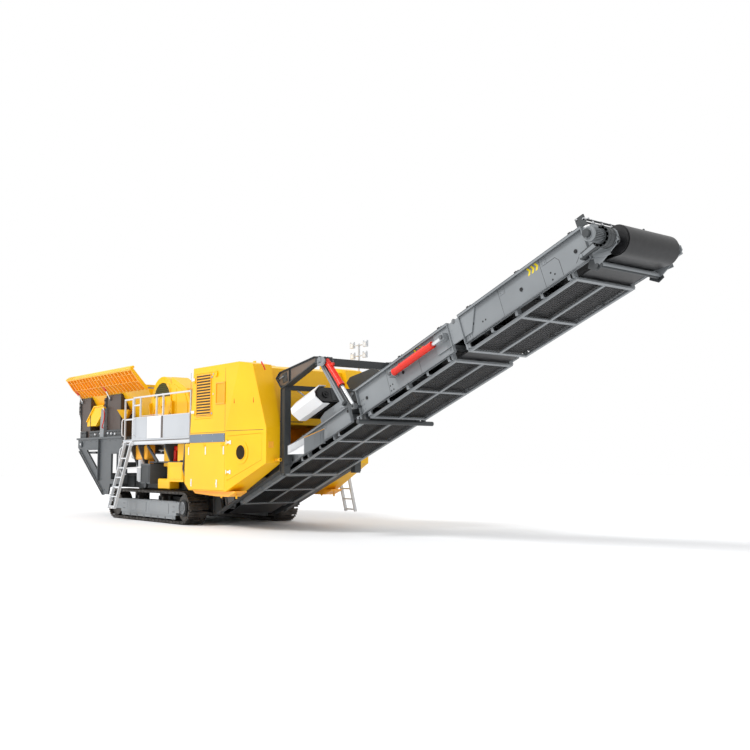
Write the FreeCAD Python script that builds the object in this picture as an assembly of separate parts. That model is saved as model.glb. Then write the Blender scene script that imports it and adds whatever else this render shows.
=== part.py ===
import FreeCAD, Part
import math
import os
from FreeCAD import Vector

# Track-mounted jaw crusher plant, millimetres.
# +X runs from the feed hopper to the discharge head, +Y to the far side, +Z up, ground at z = 0.
# Lengths below are measured from the front end of the tracks' ground contact; save() then
# moves every piece so that the origin lies on the ground under the middle of the plant.

# ---- overall ------------------------------------------------------------------------------
BODY_W = 3000.0          # over the tracks, the platforms and the machine housing
DECK_Z = 2030.0          # walking surface of the side platforms
RAIL_H = 1100.0          # guard rail above the deck
SHEET = 12.0             # sheet steel of hoods and covers
GAP = 0.3                # seat between a rolling piece and what it runs on

# ---- crawler tracks -----------------------------------------------------------------------
TRACK_H = 770.0          # ground to the top of the shoes
SHOE_W = 480.0
CHAIN_T = 70.0           # shoe and link together
SPROCKET_X = -190.0
IDLER_X = -4075.0
BEAM_H = 330.0           # track beam
BEAM_Z = 190.0
ROLLER_R = 55.0
CARRIER_R = 42.0
ROLLERS = 8

# ---- main frame ---------------------------------------------------------------------------
FRAME_IN = 820.0         # half width inside the long beams
FRAME_OUT = 980.0
FRAME_Z = 790.0
FRAME_H = 330.0
FRAME_REAR = -4600.0
FRAME_FRONT = 3240.0
CHEEK_T = 25.0           # plates beside the conveyor, ahead of the tracks
CHEEK_TIP = 3430.0
REAR_PLATE_T = 40.0
REAR_PLATE_TOP = 2100.0
REAR_PLATE_Y = 1400.0    # outer face of the plates under the hopper

# ---- hopper and feeder --------------------------------------------------------------------
HOPPER_REAR = -7050.0
HOPPER_FRONT = -2600.0
HOPPER_TOP = 3340.0      # flap hinge line
HOPPER_SEAT = 2340.0     # top of the feeder's side ledge
HOPPER_TOP_Y = 1300.0    # half width at the hinge line
HOPPER_LOW_Y = 760.0
HOPPER_T = 20.0
FLAP_OUT = 420.0         # how far a side flap leans out
FLAP_UP = 470.0
FLAP_T = 16.0
REAR_FLAP_OUT = 520.0
RIBS = 21
FEEDER_FLOOR = 1900.0
FEEDER_REAR = -6620.0
FEEDER_FRONT = -2650.0

# ---- jaw crusher --------------------------------------------------------------------------
CRUSHER_REAR = -2560.0
CRUSHER_FRONT = -860.0
CRUSHER_Y = 760.0
CRUSHER_Z = 1330.0
CRUSHER_TOP = 3180.0
GUARD_R = 640.0          # flywheel guard
GUARD_W = 440.0
GUARD_X = -1940.0
GUARD_Z = 2960.0

# ---- machine housing ----------------------------------------------------------------------
HOUSE_REAR = 150.0
LOW_REAR = -80.0         # the lower part reaches back under the platform
LOW_TOP = 1870.0
HOUSE_FRONT = 3240.0
HOUSE_Z = 815.0
HOUSE_TOP = 3610.0
HOUSE_IN = 980.0         # inner face of each side pod
FACET_X = 1820.0         # where the front facet leaves the side plane
FACET_DEG = 6.5
KINK_Z = 2160.0
DOOR_T = 25.0            # doors are pans: a skin with a rim folded in
DOOR_SKIN = 5.0
DOOR_RIM = 22.0
HINGE_R = 10.0           # hinge knuckles, standing on the door's face
PIN_R = 5.0
KNUCKLE = 20.0           # half a knuckle's length
STRAP_L = 60.0
STRAP_T = 5.0
DOOR_GAP = 6.0

# ---- discharge conveyor -------------------------------------------------------------------
SLOPE = 20.6             # degrees
LINE_X0 = -114.0         # where the line under the guards meets the ground
TAIL_X = -2700.0         # tail drum
KNEE_Z = 250.0           # height of the level tail section's return belt
HEAD_U = 12690.0         # head drum, measured along the slope from the ground line
SIDE_Y = 750.0           # outer face of the conveyor sides
SIDE_T = 14.0
SIDE_LO = 110.0          # side plates, measured square to the slope
SIDE_HI = 660.0
LOW_HI = 480.0           # the same on the lowest section
BELT_W = 1200.0
BELT_T = 16.0
HEAD_R = 215.0
HEAD_V = 216.0           # head drum's height above that line
RETURN_V = 60.0          # underside of the return belt
SNUB_BACK = 356.0        # snub roller, behind the head drum
SNUB_R = 45.0
TAIL_R = 180.0

RAD = math.pi / 180.0
COS = math.cos(SLOPE * RAD)
SIN = math.sin(SLOPE * RAD)
HALF = BODY_W / 2.0
SHAPES = {}


# ---- small makers -------------------------------------------------------------------------
def box(x0, x1, y0, y1, z0, z1):
    return Part.makeBox(x1 - x0, y1 - y0, z1 - z0, Vector(x0, y0, z0))


def prism(points, along):
    """A flat outline, given as vectors, pushed along a vector."""
    wire = Part.makePolygon(points + [points[0]])
    return Part.Face(wire).extrude(along)


def side_plate(outline, y0, y1):
    """An outline in x and z, as thick as y0 to y1."""
    return prism([Vector(x, y0, z) for x, z in outline], Vector(0, y1 - y0, 0))


def cross_plate(outline, x0, x1):
    """An outline in y and z, as thick as x0 to x1."""
    return prism([Vector(x0, y, z) for y, z in outline], Vector(x1 - x0, 0, 0))


def flat_plate(outline, z0, z1):
    """An outline in x and y, as thick as z0 to z1."""
    return prism([Vector(x, y, z0) for x, y in outline], Vector(0, 0, z1 - z0))


def rod(p, q, radius):
    p, q = Vector(*p), Vector(*q)
    return Part.makeCylinder(radius, (q - p).Length, p, q - p)


def bar(p, q, across, deep, up=(0, 0, 1)):
    """A rectangular bar from p to q: across is level, deep is towards up."""
    p, q, up = Vector(*p), Vector(*q), Vector(*up)
    run = q - p
    side = run.cross(up).normalize()
    top = side.cross(run).normalize()
    a, b = side * (across / 2.0), top * (deep / 2.0)
    return prism([p - a - b, p + a - b, p + a + b, p - a + b], run)


def joined(pieces):
    shape = pieces[0].multiFuse(pieces[1:]) if len(pieces) > 1 else pieces[0]
    return shape.removeSplitter()


def cut(shape, *others):
    for other in others:
        shape = shape.cut(other)
    return shape


def group(pieces):
    return Part.makeCompound(pieces)


def far(shape):
    """The same piece on the far side."""
    return shape.mirror(Vector(0, 0, 0), Vector(0, 1, 0))


def both(shape):
    return [shape, far(shape)]


def slope_point(u, y, v):
    """A point u along the conveyor and v square above the line under its guards."""
    return Vector(LINE_X0 + u * COS - v * SIN, y, u * SIN + v * COS)


def slope_box(u0, u1, y0, y1, v0, v1):
    corners = [slope_point(u, y0, v) for u, v in ((u0, v0), (u1, v0), (u1, v1), (u0, v1))]
    return prism(corners, Vector(0, y1 - y0, 0))


def slope_plate(outline, y0, y1):
    """An outline in u and v, as thick as y0 to y1."""
    return prism([slope_point(u, y0, v) for u, v in outline], Vector(0, y1 - y0, 0))


def u_at(x, v):
    """Distance along the slope of the point that lies over x at height v."""
    return (x - LINE_X0 + v * SIN) / COS


def keep(name, shape):
    SHAPES[name] = shape
    return shape


# ---- crawler tracks -----------------------------------------------------------------------
TRACK_Z = TRACK_H / 2.0
CHAIN_IN = TRACK_Z - CHAIN_T
TRACK_IN = HALF - SHOE_W            # inner edge of the shoes
BEAM_OUT = HALF - 40.0
BEAM_IN = TRACK_IN + 60.0


def stadium(radius, y0, y1):
    middle = box(IDLER_X, SPROCKET_X, y0, y1, TRACK_Z - radius, TRACK_Z + radius)
    ends = [rod((x, y0, TRACK_Z), (x, y1, TRACK_Z), radius) for x in (IDLER_X, SPROCKET_X)]
    return joined([middle] + ends)


def track_chain():
    return stadium(TRACK_Z, -HALF, -TRACK_IN).cut(stadium(CHAIN_IN, -HALF - 1, -TRACK_IN + 1))


def wheel(x, radius):
    """Idler or sprocket with its axle, held between the beam's cheeks."""
    rim = rod((x, -BEAM_OUT + 40, TRACK_Z), (x, -BEAM_IN - 40, TRACK_Z), radius)
    hub = rod((x, -BEAM_OUT + 25, TRACK_Z), (x, -BEAM_IN - 25, TRACK_Z), radius * 0.45)
    return joined([rim, hub])


def track_beam():
    reach = CHAIN_IN * 0.4
    rear, front = IDLER_X + CHAIN_IN + 45.0, SPROCKET_X - CHAIN_IN - 45.0
    body = box(rear, front, -BEAM_OUT, -BEAM_IN, BEAM_Z, BEAM_Z + BEAM_H)
    cheeks = []
    for y in (-BEAM_OUT, -BEAM_IN - 25.0):
        lower = box(rear + 60, front - 60, y, y + 25.0, CHAIN_T + ROLLER_R - 20, BEAM_Z)
        arm = box(IDLER_X - reach, SPROCKET_X + reach, y, y + 25.0, TRACK_Z - reach, TRACK_Z + reach)
        cheeks += [lower, arm]
    return joined([body] + cheeks)


def track_rollers():
    rear, front = IDLER_X + CHAIN_IN + 45.0 + 180.0, SPROCKET_X - CHAIN_IN - 45.0 - 180.0
    step = (front - rear) / (ROLLERS - 1)
    low, top = CHAIN_T + GAP + ROLLER_R, TRACK_H - CHAIN_T - GAP - CARRIER_R
    pieces = []
    for i in range(ROLLERS):
        x = rear + i * step
        pieces.append(rod((x, -BEAM_OUT + 25, low), (x, -BEAM_IN - 25, low), ROLLER_R))
    for x in (rear + step * 1.5, rear + step * 5.0):
        seat = box(x - 30, x + 30, -BEAM_OUT + 120, -BEAM_IN - 120, BEAM_Z + BEAM_H, top)
        pieces.append(joined([seat, rod((x, -BEAM_OUT + 60, top), (x, -BEAM_IN - 60, top), CARRIER_R)]))
    return pieces


chain = track_chain()
beam = track_beam()
wheels = [wheel(IDLER_X, CHAIN_IN - GAP), wheel(SPROCKET_X, CHAIN_IN - GAP)] + track_rollers()
keep("track_chain_near", chain)
keep("track_chain_far", far(chain))
keep("track_beam_near", beam)
keep("track_beam_far", far(beam))
keep("track_wheels", group([turned for piece in wheels for turned in both(piece)]))

# ---- main frame ---------------------------------------------------------------------------
FRAME_TOP = FRAME_Z + FRAME_H


def front_cheek():
    """Side plate that carries the conveyor and the gantry, with a flange along its sloping foot."""
    foot, tip = slope_point(u_at(480.0, 40.0), 0, 40.0), slope_point(u_at(CHEEK_TIP, 40.0), 0, 40.0)
    outline = [(180, FRAME_Z), (180, 190), (foot.x, foot.z), (tip.x, tip.z), (tip.x, tip.z + 280),
               (FRAME_FRONT - 1000, FRAME_TOP + 200), (FRAME_FRONT - 1500, FRAME_TOP),
               (FRAME_FRONT - 1500, FRAME_Z)]
    plate = side_plate(outline, -FRAME_IN - CHEEK_T, -FRAME_IN)
    window = side_plate([(560, 690), (560, 400), (1120, 610), (1120, 690)],
                        -FRAME_IN - CHEEK_T - 5, -FRAME_IN + 5)
    flange = [Vector(foot.x, y, foot.z + z) for y, z in
              ((-FRAME_IN - 130, 0), (-FRAME_IN, 0), (-FRAME_IN, 26), (-FRAME_IN - 130, 26))]
    return joined([cut(plate, window), prism(flange, tip - foot)])


def main_frame():
    below = slope_box(0, 6000, -FRAME_OUT - 5, -FRAME_IN + 5, -900, 66)
    long_beam = box(FRAME_REAR, FRAME_FRONT, -FRAME_OUT, -FRAME_IN, FRAME_Z, FRAME_TOP).cut(below)
    pieces = both(long_beam)
    for x in (-3700.0, -900.0):
        pieces.append(box(x, x + 320, -FRAME_OUT, FRAME_OUT, BEAM_Z + 480, FRAME_Z))
        leg = box(x, x + 320, -BEAM_IN, -FRAME_IN, BEAM_Z + 60, BEAM_Z + 480)
        pieces += both(leg)
    for x in (FRAME_REAR, -2900.0):
        pieces.append(box(x, x + 200, -FRAME_IN, FRAME_IN, FRAME_Z, FRAME_TOP))
    sill = box(CRUSHER_REAR + 60, CRUSHER_FRONT - 300, -FRAME_OUT, -CRUSHER_Y + 180, FRAME_TOP, CRUSHER_Z)
    pieces += both(sill) + both(front_cheek())
    return joined(pieces)


frame = keep("main_frame", main_frame())


def rear_plate():
    """Plate below the hopper with its triangular and upright windows, top flange and sloping lip."""
    outer, inner = -REAR_PLATE_Y, -REAR_PLATE_Y + REAR_PLATE_T
    top = REAR_PLATE_TOP
    outline = [
        (-7000, top), (-7000, 1880), (-6850, 1780), (-5070, 590), (-4750, 590), (-4640, 880),
        (-4040, 880), (-4040, top),
    ]
    plate = side_plate(outline, outer, inner)
    triangle = side_plate([(-6320, 1800), (-5490, 1800), (-5490, 1230)], outer - 5, inner + 5)
    slot = box(-4560, -4200, outer - 5, inner + 5, 1000, 1690)
    flange = box(-7060, -3880, outer - 30, -FRAME_OUT, top, top + 50)
    edge = ((outer - 40, 0), (inner, 0), (inner, -20), (outer - 40, -20))
    lip = prism([Vector(-6850, y, 1780 + z) for y, z in edge], Vector(-5070 + 6850, 0, 590 - 1780))
    post = box(-4040, -3880, outer, outer + 160, 880, top)
    web = box(-4740, -4560, inner, -FRAME_OUT, FRAME_Z, FRAME_TOP)
    return joined([cut(plate, triangle, slot), flange, lip, post, web])


rear_frame = rear_plate()
keep("rear_frame_near", rear_frame)
keep("rear_frame_far", far(rear_frame))

ties = []
for x, z0, z1 in ((-6980.0, 1900.0, 2080.0), (-5300.0, 1000.0, 1160.0), (-4030.0, 1300.0, 1460.0)):
    ties.append(box(x, x + 140, -REAR_PLATE_Y + REAR_PLATE_T, REAR_PLATE_Y - REAR_PLATE_T, z0, z1))
keep("rear_ties", group([cut(t, rear_frame, far(rear_frame)) for t in ties]))

# ---- feeder -------------------------------------------------------------------------------
FEED_Y = 640.0


def feeder():
    """Open vibrating trough with its grizzly bars and side ledges."""
    outer = box(FEEDER_REAR, FEEDER_FRONT, -FEED_Y - 20, FEED_Y + 20, FEEDER_FLOOR - 120, HOPPER_SEAT - 60)
    inner = box(FEEDER_REAR + 30, FEEDER_FRONT + 1, -FEED_Y, FEED_Y, FEEDER_FLOOR, HOPPER_SEAT)
    pieces = [outer.cut(inner)]
    for x in (FEEDER_REAR + 400, FEEDER_FRONT - 900):
        for y in (-FEED_Y - 180, FEED_Y + 20):
            pieces.append(box(x, x + 420, y, y + 160, FEEDER_FLOOR + 60, FEEDER_FLOOR + 110))
    return joined(pieces)


keep("feeder", feeder())
springs = []
for x in (FEEDER_REAR + 470, FEEDER_FRONT - 830):
    for y in (-FEED_Y - 100, FEED_Y + 100):
        for i in (0, 280):
            springs.append(rod((x + i, y, FEEDER_FLOOR - 140), (x + i, y, FEEDER_FLOOR + 60), 55))
shelves = []
for x, reach in ((FEEDER_REAR + 380, REAR_PLATE_Y - REAR_PLATE_T), (FEEDER_FRONT - 920, FRAME_OUT)):
    shelf = box(x, x + 460, -reach, -FEED_Y - 30, FEEDER_FLOOR - 200, FEEDER_FLOOR - 140)
    shelves += both(cut(shelf, rear_frame))
stand = box(FEEDER_FRONT - 860, FEEDER_FRONT - 720, -FRAME_OUT, -FRAME_IN, FRAME_TOP, FEEDER_FLOOR - 200)
shelves += both(stand)
keep("feeder_mounts", group(springs + [joined(shelves)]))

# ---- hopper -------------------------------------------------------------------------------
def hopper():
    """Open funnel of four plates with posts down its sides."""
    r, f, t = HOPPER_REAR, HOPPER_FRONT, HOPPER_T
    ty, ly = HOPPER_TOP_Y, HOPPER_LOW_Y
    z1, z0 = HOPPER_TOP, HOPPER_SEAT
    low_rear = r + 430

    def funnel(grow, top, low):
        upper = [Vector(r - grow, -ty - grow, top), Vector(f + grow, -ty - grow, top),
                 Vector(f + grow, ty + grow, top), Vector(r - grow, ty + grow, top)]
        lower = [Vector(low_rear - grow, -ly - grow, low), Vector(f + grow, -ly - grow, low),
                 Vector(f + grow, ly + grow, low), Vector(low_rear - grow, ly + grow, low)]
        wires = [Part.makePolygon(w + [w[0]]) for w in (lower, upper)]
        return Part.makeLoft(wires, True, True)

    shell = funnel(0, z1, z0).cut(funnel(-t, z1, z0))
    mouth = box(f - t - 5, f + 5, -ly + t, ly - t, z0 - 5, z0 + 700)
    return shell.cut(mouth)


hop = hopper()
HOPPER_POSTS = ((-7030.0, 730.0), (-5190.0, 990.0))


def hopper_post(x, width):
    """Braced stand plate outside the hopper wall, with the bracket of the flap cylinder."""
    foot, top = REAR_PLATE_TOP + 50, HOPPER_TOP - 45
    face = box(x, x + width, -HOPPER_TOP_Y - 12, -HOPPER_TOP_Y + 8, foot, top)
    web = cross_plate([(-HOPPER_TOP_Y + 8, top), (-HOPPER_TOP_Y + 8, foot), (-HOPPER_LOW_Y - 60, foot),
                       (-HOPPER_LOW_Y - 60, HOPPER_SEAT), (-HOPPER_TOP_Y + 60, top)], x, x + 25)
    bracket = box(x - 110, x, -HOPPER_TOP_Y - 40, -HOPPER_TOP_Y + 8, top - 460, top - 60)
    shape = cut(joined([face, web, web.translated(Vector(width - 25, 0, 0)), bracket]), hop)
    return max(shape.Solids, key=lambda s: s.Volume)


posts = [piece for x, width in HOPPER_POSTS for piece in both(hopper_post(x, width))]
keep("hopper", hop)
keep("hopper_posts", group(posts))


def flap(length, out, up, ribs):
    """A ribbed flap leaning out from its hinge line at the origin, running along +X."""
    thick = FLAP_T
    slant = math.hypot(out, up)
    nx, nz = up / slant, out / slant
    sheet = [Vector(0, 0, 0), Vector(0, -out, up), Vector(0, -out + thick * nx, up + thick * nz),
             Vector(0, thick * nx, thick * nz)]
    pieces = [prism(sheet, Vector(length, 0, 0))]
    edge = [Vector(0, -out, up), Vector(0, -out - 60, up - 20), Vector(0, -out - 60, up + 60),
            Vector(0, -out + 40, up + 60), Vector(0, -out + thick * nx, up + thick * nz)]
    pieces.append(prism(edge, Vector(length, 0, 0)))
    step = (length - 30.0) / (ribs - 1)
    for i in range(ribs):
        x = i * step
        rib = [Vector(x, 0, 0), Vector(x, -out, up), Vector(x, -out - 52, up - 18),
               Vector(x, -out * 0.45 - 95, up * 0.45 - 20), Vector(x, -60, -20), Vector(x, -30, -30)]
        pieces.append(prism(rib, Vector(30, 0, 0)))
    return joined(pieces)


side_flap = flap(HOPPER_FRONT - HOPPER_REAR, FLAP_OUT, FLAP_UP, RIBS)
side_flap.translate(Vector(HOPPER_REAR, -HOPPER_TOP_Y, HOPPER_TOP))
keep("side_flap_near", side_flap)
keep("side_flap_far", far(side_flap))
rear_flap = flap(2 * HOPPER_TOP_Y - 40, REAR_FLAP_OUT, FLAP_UP, 14)
rear_flap.rotate(Vector(0, 0, 0), Vector(0, 0, 1), -90)
rear_flap.translate(Vector(HOPPER_REAR, HOPPER_TOP_Y - 20, HOPPER_TOP))
keep("rear_flap", rear_flap)

# ---- jaw crusher --------------------------------------------------------------------------
def crusher():
    """Heavy cast frame with the jaw opening, open at the top and towards the feeder."""
    outline = [
        (CRUSHER_REAR, CRUSHER_Z), (CRUSHER_REAR, 2700), (CRUSHER_REAR + 260, CRUSHER_TOP),
        (CRUSHER_FRONT - 420, CRUSHER_TOP), (CRUSHER_FRONT, 2650), (CRUSHER_FRONT, 1800),
        (CRUSHER_FRONT - 260, CRUSHER_Z),
    ]
    body = side_plate(outline, -CRUSHER_Y, CRUSHER_Y)
    mouth = side_plate([
        (CRUSHER_REAR - 10, CRUSHER_TOP + 10), (CRUSHER_REAR - 10, FEEDER_FLOOR + 30),
        (CRUSHER_REAR + 320, FEEDER_FLOOR - 60), (CRUSHER_REAR + 640, CRUSHER_Z - 10),
        (CRUSHER_REAR + 800, CRUSHER_Z - 10), (CRUSHER_REAR + 1040, CRUSHER_TOP + 10),
    ], -CRUSHER_Y + 180, CRUSHER_Y - 180)
    return body.cut(mouth)


crush = keep("crusher", crusher())


def flywheel_guard():
    """Round-topped hood over the flywheel, with a sloped drive box in front of it."""
    y0, y1 = -CRUSHER_Y - GUARD_W, -CRUSHER_Y
    arch = rod((GUARD_X, y0, GUARD_Z), (GUARD_X, y1, GUARD_Z), GUARD_R)
    base = box(GUARD_X - GUARD_R, GUARD_X + GUARD_R, y0, y1, 2380, GUARD_Z)
    drive = side_plate([(GUARD_X + 500, 3560), (GUARD_X + 1300, 3230), (GUARD_X + 1500, 2900),
                        (GUARD_X + 1500, 2380), (GUARD_X + 500, 2380)], y0, y1)
    return joined([arch, base, drive])


guard = flywheel_guard()
keep("flywheel_guard_near", guard)
keep("flywheel_guard_far", far(guard))

# ---- side platforms -----------------------------------------------------------------------
DECK_T = 130.0
PLAT_REAR = -3600.0
PLAT_FRONT = 130.0
PLAT_IN = 1080.0
FASCIA_REAR = -3050.0
FASCIA_TOP = 2600.0
POST_W = 38.0
RAIL_TOP = DECK_Z + RAIL_H
RAIL_STEPS = (0.0, 390.0, 1320.0, 1690.0)
GATE_END = -3070.0
GATE_TOP = RAIL_TOP - 30.0


def platform():
    deck = box(PLAT_REAR, PLAT_FRONT, -HALF, -PLAT_IN, DECK_Z - DECK_T, DECK_Z)
    fascia = box(FASCIA_REAR, PLAT_FRONT, -HALF, -HALF + 20, DECK_Z, FASCIA_TOP)
    return joined([deck, fascia])


plat = platform()
keep("platform_near", plat)
keep("platform_far", far(plat))


def railing():
    """Guard rail with its mid rail, and the gate frame at the head of the ladder."""
    y, w = -HALF + 20, POST_W
    stations = [FASCIA_REAR + step for step in RAIL_STEPS] + [PLAT_FRONT - w]
    rails = [box(x, x + w, y, y + w, DECK_Z, RAIL_TOP) for x in stations]
    rails.append(box(FASCIA_REAR, PLAT_FRONT, y, y + w, RAIL_TOP - w, RAIL_TOP))
    rails.append(box(FASCIA_REAR, FASCIA_REAR + 400, y, y + w, RAIL_TOP - 200 - w, RAIL_TOP - 200))
    gate = [box(x, x + w, y, y + w, DECK_Z, GATE_TOP) for x in (PLAT_REAR, GATE_END - w)]
    gate += [box(PLAT_REAR, GATE_END, y, y + w, z - w, z) for z in (GATE_TOP, GATE_TOP - 520)]
    return group([joined(rails), joined(gate)])


rail = railing()
keep("railing_near", rail)
keep("railing_far", far(rail))

brackets = []
for x in (-3300.0, -2800.0, -1300.0, -160.0):
    strut = cross_plate([(-HALF + 60, DECK_Z - DECK_T), (-PLAT_IN + 100, DECK_Z - DECK_T),
                         (-PLAT_IN + 100, DECK_Z - DECK_T - 60), (-FRAME_OUT, FRAME_TOP - 40),
                         (-FRAME_OUT, FRAME_TOP - 200), (-FRAME_OUT - 60, FRAME_TOP - 200),
                         (-HALF + 60, DECK_Z - DECK_T - 80)], x, x + 60)
    brackets += both(cut(strut, rear_frame, frame))

# ---- ladders ------------------------------------------------------------------------------
LADDER_W = 420.0
LADDER_FOOT = 300.0
LADDER_LEAN = 400.0
RUNG_PITCH = 250.0
PIVOT_DROP = 110.0


def ladder(x):
    """Ladder hung from its pivot beside the deck edge, leaning out to its foot."""
    y0, z0 = -HALF - 45, DECK_Z - PIVOT_DROP
    y1, z1 = y0 - LADDER_LEAN, LADDER_FOOT
    pieces = []
    for s in (x, x + LADDER_W - 40):
        pieces.append(bar((s + 20, y0, z0), (s + 20, y1, z1), 40, 70, (0, 1, 0)))
        pieces.append(rod((s, y0, z0), (s + 40, y0, z0), 42))
    length = math.hypot(LADDER_LEAN, z0 - z1)
    for i in range(1, int(length / RUNG_PITCH) + 1):
        t = (length - 40 - (i - 1) * RUNG_PITCH) / length
        y, z = y0 + (y1 - y0) * t, z0 + (z1 - z0) * t
        if z < z0 - 90:
            pieces.append(box(x + 20, x + LADDER_W - 20, y - 20, y + 20, z - 14, z + 14))
    return joined(pieces)


LADDER_X = -3400.0
FAR_LADDER_X = 1560.0
keep("ladder_near", ladder(LADDER_X))
keep("ladder_far", far(ladder(FAR_LADDER_X)))
ladder_lugs = []
for x, turn in ((LADDER_X, lambda s: s), (FAR_LADDER_X, far)):
    z = DECK_Z - PIVOT_DROP
    for x0 in (x - 40 - GAP, x + LADDER_W + GAP):
        pin = rod((x0, -HALF - 45, z), (x0 + 40, -HALF - 45, z), 38)
        ladder_lugs.append((turn, joined([pin, box(x0, x0 + 40, -HALF - 45, -HALF + 70, z - 38, z + 38)])))

# ---- machine housing ----------------------------------------------------------------------
FACET_TAN = math.tan(FACET_DEG * RAD)
FACET_LEAN = 0.0457


def inset(points, t):
    """A closed outline drawn in by t, for a convex outline that runs anticlockwise."""
    n = len(points)
    lines = []
    for i in range(n):
        (x0, z0), (x1, z1) = points[i], points[(i + 1) % n]
        length = math.hypot(x1 - x0, z1 - z0)
        nx, nz = -(z1 - z0) / length, (x1 - x0) / length
        lines.append((x0 + nx * t, z0 + nz * t, x1 - x0, z1 - z0))
    out = []
    for i in range(n):
        ax, az, adx, adz = lines[i - 1]
        bx, bz, bdx, bdz = lines[i]
        k = ((bx - ax) * bdz - (bz - az) * bdx) / (adx * bdz - adz * bdx)
        out.append((ax + adx * k, az + adz * k))
    return out


HOUSE_OUTLINE = [
    (LOW_REAR, 970), (130, HOUSE_Z), (1840, HOUSE_Z), (HOUSE_FRONT, 1430), (HOUSE_FRONT, KINK_Z),
    (2840, 3530), (2380, HOUSE_TOP), (300, HOUSE_TOP), (HOUSE_REAR, 1960), (HOUSE_REAR, LOW_TOP),
    (LOW_REAR, LOW_TOP),
]


def facet_wedge(depth):
    """What the front facet takes off the side, drawn in by depth."""
    def ring(z, start, lean):
        y_end = -HALF + depth + (3500 - FACET_X) * FACET_TAN - lean
        corners = [(start, -HALF + depth), (3500, y_end), (3500, -HALF - 200), (start, -HALF - 200)]
        return Part.makePolygon([Vector(x, y, z) for x, y in corners + corners[:1]])

    top = HOUSE_TOP + 100
    lean = (top - KINK_Z) * FACET_LEAN
    lower = Part.makeLoft([ring(600, FACET_X, 0), ring(KINK_Z, FACET_X, 0)], True, True)
    upper = Part.makeLoft([ring(KINK_Z, FACET_X, 0), ring(top, FACET_X + lean / FACET_TAN, lean)], True, True)
    return [lower, upper]


def on_facet(plate):
    """A plate drawn in distance and height, laid on the lower facet."""
    plate.rotate(Vector(0, 0, 0), Vector(0, 0, 1), FACET_DEG)
    plate.translate(Vector(FACET_X, -HALF, 0))
    return plate


LOUVRE = (380.0, 1220.0, 2430.0, 3470.0)
LOWER_TOP = 1825.0
LOWER = [(LOW_REAR + 12, 985), (142, HOUSE_Z + 14), (1800, HOUSE_Z + 14), (1800, LOWER_TOP),
         (LOW_REAR + 12, LOWER_TOP)]
VENT_HINGE = 70.0
VENT = [(VENT_HINGE, 1050), (1290, 1500), (1290, 2060), (VENT_HINGE, 2020)]
VENT_SOLE = 1073.0


def outline_of(x0, x1, z0, z1):
    return [(x0, z0), (x1, z0), (x1, z1), (x0, z1)]


def pan(outline, face):
    """A door: a thin skin at the given face with a rim folded in all round."""
    leaf = side_plate(outline, face, face + DOOR_T)
    return leaf.cut(side_plate(inset(outline, DOOR_RIM), face + DOOR_SKIN, face + DOOR_T + 5))


def hinge(w):
    """A hinge about the Z axis at height w: the leaf's bored knuckle with its strap, and the frame's
    two knuckles with their straps and the pin. The door's face lies HINGE_R behind the axis."""
    face = HINGE_R - STRAP_T
    knuckle = rod((0, 0, w - KNUCKLE), (0, 0, w + KNUCKLE), HINGE_R)
    knuckle = joined([knuckle, box(0, STRAP_L, face, HINGE_R, w - KNUCKLE, w + KNUCKLE)])
    leaf_side = knuckle.cut(rod((0, 0, w - KNUCKLE - 1), (0, 0, w + KNUCKLE + 1), PIN_R + GAP))
    frame_side = [rod((0, 0, w - 3 * KNUCKLE), (0, 0, w + 3 * KNUCKLE), PIN_R)]
    for z0, z1 in ((w - 3 * KNUCKLE, w - KNUCKLE - GAP), (w + KNUCKLE + GAP, w + 3 * KNUCKLE)):
        frame_side.append(rod((0, 0, z0), (0, 0, z1), HINGE_R))
        frame_side.append(box(-STRAP_L, 0, face, HINGE_R, z0, z1))
    return leaf_side, joined(frame_side)


def hung(heights, place):
    """Hinges at these heights, put where place takes them: the leaf's parts and the frame's."""
    pairs = [hinge(w) for w in heights]
    return [place(leaf) for leaf, _ in pairs], [place(post) for _, post in pairs]


def on_louvre(shape):
    shape.translate(Vector(LOUVRE[0], -HALF - HINGE_R, 0))
    return shape


def on_lower(shape):
    shape.rotate(Vector(0, 0, 0), Vector(0, 1, 0), 90)
    shape.translate(Vector(0, -HALF - HINGE_R, LOWER_TOP))
    return shape


def on_vent(shape):
    shape.translate(Vector(VENT_HINGE, -HINGE_R, 0))
    return on_facet(shape)


def louvre_leaf():
    x0, x1, z0, z1 = LOUVRE
    return pan(outline_of(x0 + GAP, x1 - DOOR_GAP, z0 + DOOR_GAP, z1 - DOOR_GAP), -HALF)


def lower_leaf():
    edge = inset(LOWER, DOOR_GAP)
    top = [(x, LOWER_TOP - GAP if z > LOWER_TOP - 20 else z) for x, z in edge]
    return pan(top, -HALF)


def vent_leaf():
    """Its sloping foot is level beside the hinge, so that the rim swings clear of the opening."""
    (s0, z0), (s1, z1), top_front, top_rear = inset(VENT, DOOR_GAP)
    toe = s0 + (VENT_SOLE - z0) * (s1 - s0) / (z1 - z0)
    return on_facet(pan([(VENT_HINGE + GAP, VENT_SOLE), (toe, VENT_SOLE), (s1, z1), top_front,
                         (VENT_HINGE + GAP, top_rear[1])], 0))


def pod(open_doors):
    outer = cut(side_plate(HOUSE_OUTLINE, -HALF, -HOUSE_IN), *facet_wedge(0))
    inner = side_plate(inset(HOUSE_OUTLINE, SHEET), -HALF + SHEET, -HOUSE_IN - SHEET)
    inner = cut(inner, *facet_wedge(SHEET))
    shell = outer.cut(inner)
    if open_doors:
        shell = cut(
            shell,
            side_plate(outline_of(*LOUVRE), -HALF - 5, -HALF + SHEET + 5),
            side_plate(LOWER, -HALF - 5, -HALF + SHEET + 5),
            on_facet(side_plate(VENT, -20, SHEET + 20)),
        )
    return shell


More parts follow.
